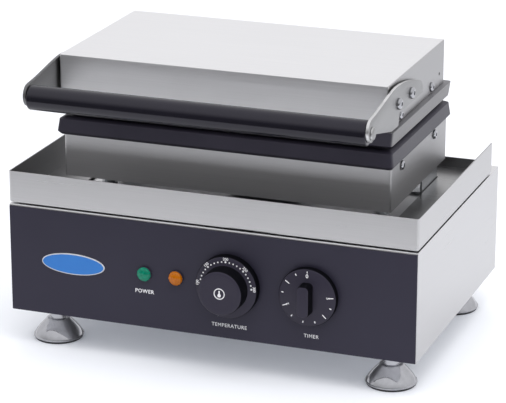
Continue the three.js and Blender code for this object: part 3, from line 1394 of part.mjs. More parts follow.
// Cable gland through a rear wall: nut inside, hexagonal collar and round cap outside, bored through
function gland(x, wallBack, sheet, z) {
  const seat = wallBack + SEAT_GAP;
  const inside = wallBack - sheet - SEAT_GAP;
  const thread = rod(GLAND_THREAD_RADIUS, seat - inside + GLAND_NUT_HEIGHT, [x, inside - GLAND_NUT_HEIGHT, z], "+y");
  const nut = rod(GLAND_NUT_RADIUS, GLAND_NUT_HEIGHT, [x, inside - GLAND_NUT_HEIGHT, z], "+y", 6);
  const collar = rod(GLAND_COLLAR_RADIUS, GLAND_COLLAR_HEIGHT, [x, seat, z], "+y", 6);
  const cap = turned(
    [
      [GLAND_CAP_RADIUS, 0],
      [GLAND_CAP_RADIUS, GLAND_CAP_HEIGHT / 2],
      [(GLAND_CAP_RADIUS + GLAND_BORE_RADIUS) / 2, GLAND_CAP_HEIGHT],
    ],
    [x, seat + GLAND_COLLAR_HEIGHT - OVERRUN, z],
    "+y",
    ROUND_MEDIUM,
  );
  const bore = rod(
    GLAND_BORE_RADIUS,
    seat - inside + GLAND_NUT_HEIGHT + GLAND_COLLAR_HEIGHT + GLAND_CAP_HEIGHT + 2 * OVERRUN,
    [x, inside - GLAND_NUT_HEIGHT - OVERRUN, z],
    "+y",
    ROUND_SMALL,
  );
  return cut(joined(thread, nut, collar, cap), bore);
}
const glandReach = SEAT_GAP + GLAND_COLLAR_HEIGHT - OVERRUN + GLAND_CAP_HEIGHT;

// The assembly, one named mesh for each piece
const machine = new THREE.Group();
function add(group, name, solid, material) {
  const mesh = new THREE.Mesh(geometryFrom(solid), material());
  mesh.name = name;
  group.add(mesh);
}

const base = new THREE.Group();
add(base, "cabinet_shell", cabinetShell(), brushedSteel);
add(base, "front_fascia", frontFascia(), fasciaBlack);
add(base, "base_plate", basePlate(), brushedSteel);
add(base, "rear_panel", rearPanel(), brushedSteel);
add(base, "drip_tray", dripTray(), brushedSteel);
add(base, "wiring_duct", wiringDuct(), zincedSteel);
add(base, "pedestal", pedestal(), brushedSteel);
add(base, "lower_plate", lowerPlate(), castIron);
add(base, "lower_heater", tube(heaterPath(lowerHeaterZ, -1), HEATER_RADIUS, heaterSteps), heaterSteel);
add(base, "lower_heater_clamp", clampBar(lowerPlateBottom, -1), zincedSteel);
add(base, "thermostat_body", thermostatBody(), ceramicWhite);
add(base, "sensor_line", sensorLine(), copper);
add(base, "timer_body", timerBody(), zincedSteel);
add(base, "safety_cutout", safetyCutout(), ceramicWhite);
add(base, "terminal_block", terminalBlock(), ceramicWhite);
add(base, "green_lamp_body", lampBody(GREEN_LAMP_X), knobBlack);
add(base, "green_lamp_lens", lampLens(GREEN_LAMP_X), greenLens);
add(base, "amber_lamp_body", lampBody(AMBER_LAMP_X), knobBlack);
add(base, "amber_lamp_lens", lampLens(AMBER_LAMP_X), amberLens);
add(base, "mains_gland", gland(glandX, cabinetBack, CABINET_SHEET, cabinetBottom + GLAND_RISE), blackRubber);
add(base, "pedestal_gland", gland(CONDUIT_X, pedestalBack, PEDESTAL_SHEET, pedestalConduitZ), blackRubber);
for (const [word, side] of [["left", -1], ["right", 1]]) {
  add(base, `support_${word}`, support(side), zincedSteel);
  add(base, `standoff_${word}`, standoff(side), zincedSteel);
  add(base, `hinge_pin_${word}`, hingePin(side), zincedSteel);
}
const cornerWords = ["front_left", "rear_left", "front_right", "rear_right"];
pedestalScrews.forEach((place, i) => {
  add(base, `pedestal_screw_${cornerWords[i]}`, pedestalScrew(place), chrome);
});

const lid = new THREE.Group();
add(lid, "upper_plate", upperPlate(), castIron);
add(lid, "upper_heater", tube(heaterPath(upperHeaterZ, 1), HEATER_RADIUS, heaterSteps), heaterSteel);
add(lid, "upper_heater_clamp", clampBar(upperPlateTop, 1), zincedSteel);
add(lid, "lid_cover", lidCover(), brushedSteel);
add(lid, "lid_gland", gland(CONDUIT_X, coverBack, COVER_SHEET, coverConduitZ), blackRubber);
add(lid, "handle", handle(), gripBlack);
for (const [word, side] of [["left", -1], ["right", 1]]) {
  add(lid, `bracket_${word}`, bracket(side), brushedSteel);
  add(lid, `handle_bolt_${word}`, handleBolt(side), chrome);
}
coverScrews.forEach((place, i) => {
  add(lid, `cover_screw_${cornerWords[i]}`, coverScrew(place), chrome);
});
bracketBolts.forEach((place, i) => {
  add(lid, `bracket_bolt_${cornerWords[i]}`, bracketBolt(place), chrome);
});

const temperatureControl = new THREE.Group();
add(temperatureControl, "temperature_knob", temperatureKnob(), knobBlack);
add(temperatureControl, "thermostat_shaft", shaft(TEMPERATURE_X, controlBack), zincedSteel);

const timerControl = new THREE.Group();
add(timerControl, "timer_knob", timerKnob(), knobBlack);
add(timerControl, "timer_shaft", shaft(TIMER_X, controlBack), zincedSteel);

const feet = new THREE.Group();
for (const [word, x, y] of footPlaces) add(feet, `foot_${word}`, foot(x, y), chrome);

machine.add(base, lid, temperatureControl, timerControl, feet);

// The origin sits on the table, midway between the bracket tips in front and the mains gland behind
const frontReach = -HANDLE_AXIS_Y + Math.max(HANDLE_RADIUS, BRACKET_NOSE_RADIUS);
const backReach = cabinetBack + glandReach;
machine.position.y = (frontReach - backReach) / 2;

export default machine;
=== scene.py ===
# %% [markdown]
# A countertop waffle maker, dressed for the studio
#
# The machine stands on four levelling feet. A folded steel cabinet carries the controls, and on its top
# lies a drip tray. In the tray a pedestal holds the lower waffle plate, and the upper plate hangs in a
# steel lid with a bar handle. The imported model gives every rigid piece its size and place. This file
# gives each surface its finish, and makes the round and printed pieces again with more detail.

import json
import math

import bmesh
import bpy
from mathutils import Matrix, Vector


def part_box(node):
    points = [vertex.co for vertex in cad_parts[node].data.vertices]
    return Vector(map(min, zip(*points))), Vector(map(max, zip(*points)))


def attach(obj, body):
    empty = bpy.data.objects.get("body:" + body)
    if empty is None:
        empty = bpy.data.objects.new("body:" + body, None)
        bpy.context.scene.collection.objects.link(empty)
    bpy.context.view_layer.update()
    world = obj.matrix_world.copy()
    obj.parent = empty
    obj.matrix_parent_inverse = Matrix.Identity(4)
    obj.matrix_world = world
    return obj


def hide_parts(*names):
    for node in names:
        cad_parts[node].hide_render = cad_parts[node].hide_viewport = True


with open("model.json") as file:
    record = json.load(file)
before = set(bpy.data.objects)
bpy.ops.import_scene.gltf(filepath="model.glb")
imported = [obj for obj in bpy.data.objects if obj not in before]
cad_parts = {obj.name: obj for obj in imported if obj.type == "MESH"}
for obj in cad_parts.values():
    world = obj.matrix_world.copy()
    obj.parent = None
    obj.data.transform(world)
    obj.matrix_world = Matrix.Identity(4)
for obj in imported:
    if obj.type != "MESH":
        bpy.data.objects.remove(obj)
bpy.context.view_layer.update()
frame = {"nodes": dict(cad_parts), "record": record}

MM = 0.001
nodes = frame["nodes"]

# %% [markdown]
# The camera
#
# The eye stands a little to the right and above, far enough back for a long lens, so upright edges stay
# nearly parallel. The angles and the distance come from lining up the cabinet's corners.

# %% Camera
AZIMUTH = math.radians(20.51)
ELEVATION = math.radians(18.53)
EYE_DISTANCE = 2.65406
LENS = 174.26
FILM_WIDTH = 36
LOOK_AT = Vector((-0.00741, 0.015225, 0.13786))

camera_data = bpy.data.cameras.new("studio_camera")
camera_data.lens = LENS
camera_data.sensor_width = FILM_WIDTH
camera = bpy.data.objects.new("studio_camera", camera_data)
bpy.context.scene.collection.objects.link(camera)
towards_eye = Vector(
    (
        math.sin(AZIMUTH) * math.cos(ELEVATION),
        -math.cos(AZIMUTH) * math.cos(ELEVATION),
        math.sin(ELEVATION),
    )
)
camera.location = LOOK_AT + EYE_DISTANCE * towards_eye
camera.rotation_euler = (math.pi / 2 - ELEVATION, 0, AZIMUTH)
bpy.context.scene.camera = camera
print("camera at", tuple(round(v, 3) for v in camera.location))

# %% [markdown]
# Node helpers
#
# The room, the floor and every finish are small node trees. These helpers keep them short. A Mix node
# numbers its sockets by kind of value, so the numbers in use get names here.

# %% Node helpers
FLOAT_A, FLOAT_B, FLOAT_OUT = 2, 3, 0
COLOUR_A, COLOUR_B, COLOUR_OUT = 6, 7, 2


def node_tree(owner):
    """An empty node tree for a world or a material."""
    owner.use_nodes = True
    owner.node_tree.nodes.clear()
    return owner.node_tree.nodes, owner.node_tree.links


def remap(n, links, value, low, high, start=0.0, end=1.0, curve="LINEAR"):
    """Carries the range from start to end over to the range from low to high."""
    ramp = n.new("ShaderNodeMapRange")
    ramp.interpolation_type = curve
    ramp.inputs["From Min"].default_value = start
    ramp.inputs["From Max"].default_value = end
    ramp.inputs["To Min"].default_value = low
    ramp.inputs["To Max"].default_value = high
    links.new(value, ramp.inputs["Value"])
    return ramp.outputs["Result"]


def mix_node(n, kind, factor=None, links=None):
    mix = n.new("ShaderNodeMix")
    mix.data_type = kind
    if factor is not None:
        links.new(factor, mix.inputs[0])
    return mix


def maths(n, operation):
    node = n.new("ShaderNodeMath")
    node.operation = operation
    return node


print("node helpers ready")

# %% [markdown]
# Light and floor
#
# Brushed steel looks like what stands round it. A real studio is bright above, behind and beside the
# object, and dim on the side where the camera stands, so front panels come out darker than the lid's
# top. The world here is such a room, while the camera itself sees a plain white backdrop. The floor is
# a white sheet that catches a soft shadow, and a faint glow that only the camera sees keeps it pale.

# %% World
DIM_SIDE, BRIGHT_SIDE, CEILING = 0.16, 0.9, 1.0
SIDE_FADE = (-0.95, 0.1)
CEILING_FADE = (0.05, 0.75)
ROOM_TINT = (0.985, 0.985, 1.0, 1)
BACKDROP = (1, 1, 1, 1)

world = bpy.data.worlds.new("studio_room")
bpy.context.scene.world = world
n, links = node_tree(world)
direction = n.new("ShaderNodeTexCoord")
split = n.new("ShaderNodeSeparateXYZ")
links.new(direction.outputs["Generated"], split.inputs[0])
front_to_back = remap(n, links, split.outputs["Y"], DIM_SIDE, BRIGHT_SIDE, *SIDE_FADE, "SMOOTHSTEP")
upwards = remap(n, links, split.outputs["Z"], 0.0, 1.0, *CEILING_FADE, "SMOOTHSTEP")
room = mix_node(n, "FLOAT", upwards, links)
links.new(front_to_back, room.inputs[FLOAT_A])
room.inputs[FLOAT_B].default_value = CEILING
room_light = n.new("ShaderNodeBackground")
links.new(room.outputs[FLOAT_OUT], room_light.inputs["Strength"])
room_light.inputs["Color"].default_value = ROOM_TINT
backdrop_white = n.new("ShaderNodeBackground")
backdrop_white.inputs["Color"].default_value = BACKDROP
rays = n.new("ShaderNodeLightPath")
seen = maths(n, "MAXIMUM")
links.new(rays.outputs["Is Camera Ray"], seen.inputs[0])
links.new(rays.outputs["Is Transmission Ray"], seen.inputs[1])
world_mix = n.new("ShaderNodeMixShader")
links.new(seen.outputs[0], world_mix.inputs[0])
links.new(room_light.outputs[0], world_mix.inputs[1])
links.new(backdrop_white.outputs[0], world_mix.inputs[2])
world_out = n.new("ShaderNodeOutputWorld")
links.new(world_mix.outputs[0], world_out.inputs["Surface"])
print("room built")

# %% Floor
FLOOR_HALF_WIDTH, FLOOR_HALF_DEPTH = 3.0, 2.08
FLOOR_CENTRE_Y = 1.32
FLOOR_WHITE = (0.795, 0.802, 0.825, 1)
GLOW_TINT = (0.8, 0.87, 1.0, 1)
GLOW = 0.17

floor_sheet = bmesh.new()
bmesh.ops.create_grid(floor_sheet, x_segments=1, y_segments=1, size=1)
bmesh.ops.scale(floor_sheet, vec=(FLOOR_HALF_WIDTH, FLOOR_HALF_DEPTH, 1), verts=floor_sheet.verts)
bmesh.ops.translate(floor_sheet, vec=(0, FLOOR_CENTRE_Y, 0), verts=floor_sheet.verts)
floor_mesh = bpy.data.meshes.new("floor")
floor_sheet.to_mesh(floor_mesh)
floor_sheet.free()
floor = bpy.data.objects.new("floor", floor_mesh)
bpy.context.scene.collection.objects.link(floor)
floor_finish = bpy.data.materials.new("floor_white")
n, links = node_tree(floor_finish)
floor_shader = n.new("ShaderNodeBsdfDiffuse")
floor_shader.inputs["Color"].default_value = FLOOR_WHITE
floor_glow = n.new("ShaderNodeEmission")
floor_glow.inputs["Color"].default_value = GLOW_TINT
floor_rays = n.new("ShaderNodeLightPath")
glow_strength = maths(n, "MULTIPLY")
glow_strength.inputs[1].default_value = GLOW
links.new(floor_rays.outputs["Is Camera Ray"], glow_strength.inputs[0])
links.new(glow_strength.outputs[0], floor_glow.inputs["Strength"])
floor_sum = n.new("ShaderNodeAddShader")
links.new(floor_shader.outputs[0], floor_sum.inputs[0])
links.new(floor_glow.outputs[0], floor_sum.inputs[1])
floor_out = n.new("ShaderNodeOutputMaterial")
links.new(floor_sum.outputs[0], floor_out.inputs["Surface"])
floor_mesh.materials.append(floor_finish)
print("floor laid")

# %% [markdown]
# Three softboxes light the scene from high up. They don't mirror in the steel, so only the room does.
# Each has its place, the point that it is aimed at, and its power in watts.

# %% Lamps
SOFTBOX_SIZE = 1.6
SOFTBOXES = {
    "key_softbox": ((1.2, -0.4, 2.2), (0, 0, 0.1), 19),
    "back_softbox": ((-0.6, 1.9, 2.0), (0, 0, 0.1), 8),
    "front_softbox": ((0.1, -1.0, 2.4), (0, -0.2, 0), 20),
}


def softbox(name, place, aim, watts):
    lamp = bpy.data.lights.new(name, "AREA")
    lamp.shape = "SQUARE"
    lamp.size = SOFTBOX_SIZE
    lamp.energy = watts
    holder = bpy.data.objects.new(name, lamp)
    bpy.context.scene.collection.objects.link(holder)
    holder.location = place
    holder.visible_glossy = False
    holder.rotation_euler = (Vector(aim) - Vector(place)).to_track_quat("-Z", "Y").to_euler()


for name, (place, aim, watts) in SOFTBOXES.items():
    softbox(name, place, aim, watts)
bpy.context.scene.view_settings.view_transform = "Standard"
print("three softboxes placed")

# %% [markdown]
# Finishes
#
# Each finish is a node material on Object coordinates, so its grain stays fixed to the piece when the
# lid swings. Colours that vary are given as a dark and a light end, and a noise picks between them.


# %% Material helpers
def new_finish(name, slot):
    material = bpy.data.materials.new(name)
    n, links = node_tree(material)
    shader = n.new("ShaderNodeBsdfPrincipled")
    out = n.new("ShaderNodeOutputMaterial")
    links.new(shader.outputs[0], out.inputs["Surface"])
    material["slot"] = slot
    return material, n, links, shader


def noise(n, links, scale, stretch=(1, 1, 1), detail=3.0):
    """A noise on Object coordinates, drawn out along the axes that have a small stretch value."""
    where = n.new("ShaderNodeTexCoord")
    mapping = n.new("ShaderNodeMapping")
    mapping.inputs["Scale"].default_value = stretch
    links.new(where.outputs["Object"], mapping.inputs["Vector"])
    texture = n.new("ShaderNodeTexNoise")
    texture.inputs["Scale"].default_value = scale
    texture.inputs["Detail"].default_value = detail
    links.new(mapping.outputs[0], texture.inputs["Vector"])
    return texture.outputs["Fac"]


def blend_colours(n, links, factor, first, second):
    mix = mix_node(n, "RGBA", factor, links)
    mix.inputs[COLOUR_A].default_value = (*first, 1)
    mix.inputs[COLOUR_B].default_value = (*second, 1)
    return mix.outputs[COLOUR_OUT]


def add_bump(n, links, shader, heights, strength, distance):
    bump = n.new("ShaderNodeBump")
    bump.inputs["Strength"].default_value = strength
    bump.inputs["Distance"].default_value = distance
    links.new(heights, bump.inputs["Height"])
    links.new(bump.outputs[0], shader.inputs["Normal"])


def facing(n, links):
    """The coordinates of the surface, and its own normal split into X, Y and Z."""
    where = n.new("ShaderNodeTexCoord")
    split = n.new("ShaderNodeSeparateXYZ")
    links.new(where.outputs["Normal"], split.inputs[0])
    return where, split


print("material helpers ready")

# %% [markdown]
# Brushed steel
#
# Sheet is brushed lengthwise: the grain runs along X on fronts and tops, and along Y on side walls, so
# the material asks the surface's normal which way the wall faces. Side walls also get painted shade. The
# insides of a tray see less of the room than its outsides, so faces that look back to the middle get
# painted shade.

# %% Brushed steel
ALONG_GRAIN, ACROSS_GRAIN, GRAIN_DETAIL = 9, 900, 4
GRAIN_SHARE, SMUDGE_SHARE = 0.7, 0.3
SMUDGE_SCALE = 7.0
INSIDE_SHADE_FADE = (0.0, 0.06)
STEEL_SPREAD = (-0.05, 0.08)
GRAIN_BUMP, GRAIN_DEPTH = 0.05, 0.0003


def brushed_steel(name, dark, light, rough, side_shade_share, inside_shade_share=1.0):
    """Brushed sheet with painted shade: side walls and insides take a darker share of the colour."""
    material, n, links, shader = new_finish(name, "steel")
    along_x = noise(n, links, 1.0, (ALONG_GRAIN, ACROSS_GRAIN, ACROSS_GRAIN), GRAIN_DETAIL)
    along_y = noise(n, links, 1.0, (ACROSS_GRAIN, ALONG_GRAIN, ACROSS_GRAIN), GRAIN_DETAIL)
    where, normal = facing(n, links)
    sideways = maths(n, "ABSOLUTE")
    links.new(normal.outputs["X"], sideways.inputs[0])
    grain = mix_node(n, "FLOAT", sideways.outputs[0], links)
    links.new(along_x, grain.inputs[FLOAT_A])
    links.new(along_y, grain.inputs[FLOAT_B])
    smudge = noise(n, links, SMUDGE_SCALE)
    tone = maths(n, "MULTIPLY_ADD")
    links.new(grain.outputs[FLOAT_OUT], tone.inputs[0])
    tone.inputs[1].default_value = GRAIN_SHARE
    links.new(remap(n, links, smudge, 0.0, SMUDGE_SHARE), tone.inputs[2])
    sheet_colour = blend_colours(n, links, tone.outputs[0], dark, light)
    # Painted shade: side walls get a darker copy of the sheet's colour, scaled by the side shade share.
    shaded_side_dark, shaded_side_light = ([side_shade_share * c for c in colour] for colour in (dark, light))
    shaded_side_colour = blend_colours(n, links, tone.outputs[0], shaded_side_dark, shaded_side_light)
    shade_by_wall = mix_node(n, "RGBA", sideways.outputs[0], links)
    links.new(sheet_colour, shade_by_wall.inputs[COLOUR_A])
    links.new(shaded_side_colour, shade_by_wall.inputs[COLOUR_B])
    # Painted shade: faces that look back towards the middle are darkened by the inside shade share.
    level = n.new("ShaderNodeVectorMath")
    level.operation = "MULTIPLY"
    links.new(where.outputs["Normal"], level.inputs[0])
    level.inputs[1].default_value = (1, 1, 0)
    outwards = n.new("ShaderNodeVectorMath")
    outwards.operation = "DOT_PRODUCT"
    links.new(level.outputs[0], outwards.inputs[0])
    links.new(where.outputs["Object"], outwards.inputs[1])
    inside = remap(n, links, outwards.outputs["Value"], inside_shade_share, 1.0, *INSIDE_SHADE_FADE)
    shade_by_place = mix_node(n, "RGBA")
    shade_by_place.blend_type = "MULTIPLY"
    shade_by_place.inputs[0].default_value = 1
    links.new(shade_by_wall.outputs[COLOUR_OUT], shade_by_place.inputs[COLOUR_A])
    links.new(inside, shade_by_place.inputs[COLOUR_B])
    links.new(shade_by_place.outputs[COLOUR_OUT], shader.inputs["Base Color"])
    roughness = remap(n, links, tone.outputs[0], *(rough + spread for spread in STEEL_SPREAD))
    links.new(roughness, shader.inputs["Roughness"])
    shader.inputs["Metallic"].default_value = 1
    add_bump(n, links, shader, grain.outputs[FLOAT_OUT], GRAIN_BUMP, GRAIN_DEPTH)
    return material


# The last numbers are painted shade shares: side walls, and for the tray also its insides.
steel = brushed_steel("brushed_steel", (0.70, 0.697, 0.708), (0.82, 0.817, 0.828), 0.28, 0.75)
tray_steel = brushed_steel("tray_steel", (0.50, 0.497, 0.503), (0.60, 0.597, 0.603), 0.28, 0.93, 0.66)
pedestal_steel = brushed_steel("pedestal_steel", (0.66, 0.657, 0.67), (0.78, 0.777, 0.79), 0.45, 0.66)
cover_steel = brushed_steel("cover_steel", (0.80, 0.797, 0.808), (0.92, 0.917, 0.928), 0.40, 0.51)
bracket_steel = brushed_steel("bracket_steel", (0.70, 0.70, 0.705), (0.80, 0.80, 0.805), 0.36, 0.43)
# A much darker steel that is only painted shade, for the left bracket's rim.
bracket_rim_shade = brushed_steel("bracket_rim_shade", (0.16, 0.16, 0.165), (0.22, 0.22, 0.225), 0.45, 0.6)
print("six steels mixed")

# %% [markdown]
# Castings, mouldings, plating and lenses
#
# The waffle plates are dark castings with a seasoned coat. Right walls, and on the upper plate also tops,
# get painted light: a paler colour. Plastic and painted parts share one moulded finish, plated parts
# another, and the lamp lenses a third.

# %% Castings
COAT_DARK, COAT_LIGHT = (0.018, 0.016, 0.028), (0.038, 0.034, 0.052)
PIT_SCALE, PATCH_SCALE = 900.0, 18.0
RIGHT_LIGHT_FADE = (0.5, 0.95)
CASTING_ROUGH, CASTING_METALLIC = (0.38, 0.58), 0.25
PIT_BUMP, PIT_DEPTH = 0.25, 0.0004


def cast_finish(name, lit_dark, lit_bright, lit_top_share):
    """A dark casting with a seasoned coat, pits and patches, and painted light: paler on its right wall
    and its top.
    """
    material, n, links, shader = new_finish(name, "cast_iron")
    pits = noise(n, links, PIT_SCALE, detail=5)
    patches = noise(n, links, PATCH_SCALE, detail=4)
    coat = blend_colours(n, links, patches, COAT_DARK, COAT_LIGHT)
    lit_colour = blend_colours(n, links, patches, lit_dark, lit_bright)
    _, normal = facing(n, links)
    # Painted light: the coat gives way to the paler colour on walls facing right and, by the top share,
    # on tops.
    top_light = maths(n, "MULTIPLY")
    links.new(normal.outputs["Z"], top_light.inputs[0])
    top_light.inputs[1].default_value = lit_top_share
    painted_light = maths(n, "MAXIMUM")
    links.new(remap(n, links, normal.outputs["X"], 0.0, 1.0, *RIGHT_LIGHT_FADE), painted_light.inputs[0])
    links.new(top_light.outputs[0], painted_light.inputs[1])
    colour = mix_node(n, "RGBA", painted_light.outputs[0], links)
    links.new(coat, colour.inputs[COLOUR_A])
    links.new(lit_colour, colour.inputs[COLOUR_B])
    links.new(colour.outputs[COLOUR_OUT], shader.inputs["Base Color"])
    links.new(remap(n, links, patches, *CASTING_ROUGH), shader.inputs["Roughness"])
    shader.inputs["Metallic"].default_value = CASTING_METALLIC
    add_bump(n, links, shader, pits, PIT_BUMP, PIT_DEPTH)
    return material


# The second colour pair is the painted light's colour, and the last number its share on tops; the upper
# plate gets a paler pair and a lit top.
casting = cast_finish("seasoned_casting", (0.06, 0.058, 0.072), (0.09, 0.088, 0.104), 0)
upper_casting = cast_finish("upper_casting", (0.21, 0.208, 0.216), (0.27, 0.268, 0.276), 0.6)
print("two castings mixed")

# %% Mouldings, plating and lenses
SHEEN_TINT = (0.92, 0.9, 1, 1)
HAZE_SCALE, SWIRL_SCALE, FACET_SCALE = 14.0, 160.0, 420.0
MOULDED_SPREAD, PLATED_SPREAD = (-0.05, 0.07), (0.7, 1.3)
SWIRL_BUMP, FACET_BUMP = 0.02, 0.15
SATIN_DEPTH, FACET_DEPTH = 0.0002, 0.0004
LENS_ROUGH, LENS_COAT, LENS_SHINE = 0.12, 0.1, 0.3


def moulded(name, slot, dark, light, rough, grain_scale=700.0, bump=0.08, shine=0.5):
    """Moulded or coated: an even colour with a fine satin grain."""
    material, n, links, shader = new_finish(name, slot)
    grain = noise(n, links, grain_scale, detail=2)
    haze = noise(n, links, HAZE_SCALE, detail=3)
    links.new(blend_colours(n, links, haze, dark, light), shader.inputs["Base Color"])
    roughness = remap(n, links, grain, *(rough + spread for spread in MOULDED_SPREAD))
    links.new(roughness, shader.inputs["Roughness"])
    shader.inputs["Specular IOR Level"].default_value = shine
    shader.inputs["Specular Tint"].default_value = SHEEN_TINT
    add_bump(n, links, shader, grain, bump, SATIN_DEPTH)
    return material


def plated(name, slot, dark, light, rough):
    """Plated or bare metal with faint swirls: the smaller its roughness, the more it is a mirror."""
    material, n, links, shader = new_finish(name, slot)
    swirl = noise(n, links, SWIRL_SCALE, detail=3)
    links.new(blend_colours(n, links, swirl, dark, light), shader.inputs["Base Color"])
    roughness = remap(n, links, swirl, *(rough * share for share in PLATED_SPREAD))
    links.new(roughness, shader.inputs["Roughness"])
    shader.inputs["Metallic"].default_value = 1
    add_bump(n, links, shader, swirl, SWIRL_BUMP, SATIN_DEPTH)
    return material


def lens_finish(name, slot, deep, bright):
    """Coloured lamp lens: glossy plastic with small facets moulded into it."""
    material, n, links, shader = new_finish(name, slot)
    facets = noise(n, links, FACET_SCALE, detail=1)
    links.new(blend_colours(n, links, facets, deep, bright), shader.inputs["Base Color"])
    shader.inputs["Roughness"].default_value = LENS_ROUGH
    shader.inputs["Coat Weight"].default_value = LENS_COAT
    shader.inputs["Specular IOR Level"].default_value = LENS_SHINE
    add_bump(n, links, shader, facets, FACET_BUMP, FACET_DEPTH)
    return material


fascia_film = moulded(
    "fascia_film", "fascia", (0.026, 0.024, 0.040), (0.031, 0.029, 0.047), 0.42, shine=0.3
)
knob_plastic = moulded(
    "knob_plastic", "knob_black", (0.025, 0.022, 0.037), (0.031, 0.028, 0.044), 0.4, shine=0.3
)
# A near-black finish that is only painted shade, for side walls and the cover's hole.
painted_shade_black = moulded(
    "painted_shade_black", "knob_black", (0.002, 0.002, 0.003), (0.004, 0.004, 0.006), 0.5, shine=0.08
)
grip_plastic = moulded(
    "grip_plastic", "grip_black", (0.004, 0.004, 0.007), (0.008, 0.007, 0.013), 0.15, 400, 0.03
)
gland_nylon = moulded("gland_nylon", "gland_black", (0.012, 0.012, 0.013), (0.022, 0.022, 0.024), 0.5)
chrome = plated("polished_chrome", "chrome", (0.74, 0.75, 0.78), (0.88, 0.89, 0.91), 0.1)
foot_chrome = plated("foot_chrome", "chrome", (0.39, 0.395, 0.42), (0.50, 0.505, 0.53), 0.07)
zinc = plated("zinc_plate", "zinc", (0.48, 0.50, 0.52), (0.62, 0.64, 0.66), 0.34)
heater_sheath = plated("heater_sheath", "heater", (0.16, 0.14, 0.13), (0.26, 0.23, 0.21), 0.5)
bare_copper = plated("bare_copper", "copper", (0.52, 0.24, 0.13), (0.66, 0.34, 0.2), 0.3)
ceramic = moulded("fired_ceramic", "ceramic", (0.70, 0.67, 0.60), (0.80, 0.78, 0.72), 0.6)
green_lens = lens_finish("green_lens", "green_lens", (0.0, 0.13, 0.075), (0.0, 0.30, 0.18))
amber_lens = lens_finish("amber_lens", "amber_lens", (0.40, 0.095, 0.0), (0.60, 0.18, 0.0))
white_ink = moulded("white_ink", "fascia", (0.86, 0.86, 0.88), (0.95, 0.95, 0.96), 0.5, 300, 0.02)
print(len(bpy.data.materials), "finishes")

# %% [markdown]
# Sheet-metal pieces
#
# The folded panels and castings already have the right form, so they stay as they are and get their
# finish. A real fold is never razor sharp: a small bevel modifier rounds each edge, and that is what
# catches the thin bright line along it.

# %% Finish the carried pieces
SLOT_FINISH = {
    "steel": steel,
    "fascia": fascia_film,
    "zinc": zinc,
    "cast_iron": casting,
    "heater": heater_sheath,
    "ceramic": ceramic,
    "copper": bare_copper,
    "knob_black": knob_plastic,
    "green_lens": green_lens,
    "amber_lens": amber_lens,
    "gland_black": gland_nylon,
    "grip_black": grip_plastic,
    "chrome": chrome,
}
OWN_FINISH = {
    "lid_cover": cover_steel,
    "drip_tray": tray_steel,
    "pedestal": pedestal_steel,
    "upper_plate": upper_casting,
}
SLOT_OF = {row["node"]: row["material_slot"] for row in frame["record"]["subparts"]}
EDGE_ROUNDING = {
    "cabinet_shell": 0.6,
    "front_fascia": 0.25,
    "drip_tray": 0.35,
    "pedestal": 0.35,
    "lid_cover": 0.35,
    "lower_plate": 0.6,
    "upper_plate": 0.6,
}
SAME_POINT = 0.01
ROUNDED_FROM = math.radians(32)


def paint(piece, material):
    if not piece.material_slots:
        piece.data.materials.append(material)
    for place in piece.material_slots:
        place.material = material


def round_edges(piece, width):
    weld = piece.modifiers.new("join_corners", "WELD")
    weld.merge_threshold = SAME_POINT * MM
    rounding = piece.modifiers.new("rounded_edges", "BEVEL")
    rounding.width = width * MM
    rounding.segments = 2
    rounding.limit_method = "ANGLE"
    rounding.angle_limit = ROUNDED_FROM


for name, piece in nodes.items():
    paint(piece, OWN_FINISH.get(name, SLOT_FINISH[SLOT_OF[name]]))
for name, width in EDGE_ROUNDING.items():
    round_edges(nodes[name], width)
print("finished", len(nodes), "carried pieces")

# %% [markdown]
# Turned pieces
#
# Feet, knobs, lamps, screws and the handle are all round. Each is drawn as half a section, radius
# against height, and spun once round its axis, which is how a lathe would make it.

# %% Spin helpers
SHARP_FROM = math.radians(35)
ARC_STEPS = 4
SMALL_STEPS, PLAIN_STEPS, BAR_STEPS, KNOB_STEPS = 48, 64, 96, 128
ALONG_AXIS = 0.6


def place_on_axis(towards):
    """The turn that carries +Z onto another axis."""
    return Vector((0, 0, 1)).rotation_difference(Vector(towards)).to_matrix().to_4x4()


def keep(mesh_data, name, material, body, replaced=()):
    """Turns a finished bmesh into a shaded piece that rides on a body."""
    mesh = bpy.data.meshes.new(name)
    mesh_data.to_mesh(mesh)
    mesh_data.free()
    for polygon in mesh.polygons:
        polygon.use_smooth = True
    mesh.set_sharp_from_angle(angle=SHARP_FROM)
    piece = bpy.data.objects.new(name, mesh)
    bpy.context.scene.collection.objects.link(piece)
    mesh.materials.append(material)
    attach(piece, body)
    if replaced:
        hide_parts(*replaced)
    return piece


def paint_wall_shade(piece, wall_shade, axis=(0, 1, 0)):
    """Paints shade on the walls round an axis with a second, darker finish, and leaves the faces that
    look along it.
    """
    piece.data.materials.append(wall_shade)
    for polygon in piece.data.polygons:
        if abs(polygon.normal.dot(Vector(axis))) < ALONG_AXIS:
            polygon.material_index = 1


def spun(profile, centre, towards, steps=PLAIN_STEPS):
    """A closed round solid in a new bmesh, from [radius, height] points in millimetres."""
    solid = bmesh.new()
    points = [solid.verts.new((radius * MM, 0, height * MM)) for radius, height in profile]
    section = [solid.edges.new(pair) for pair in zip(points, points[1:])]
    bmesh.ops.spin(
        solid,
        geom=points + section,
        axis=(0, 0, 1),
        cent=(0, 0, 0),
        angle=2 * math.pi,
        steps=steps,
        use_merge=True,
    )
    bmesh.ops.remove_doubles(solid, verts=solid.verts, dist=0.002 * MM)
    bmesh.ops.recalc_face_normals(solid, faces=solid.faces)
    move = Matrix.Translation(centre) @ place_on_axis(towards)
    bmesh.ops.transform(solid, matrix=move, verts=solid.verts)
    return solid


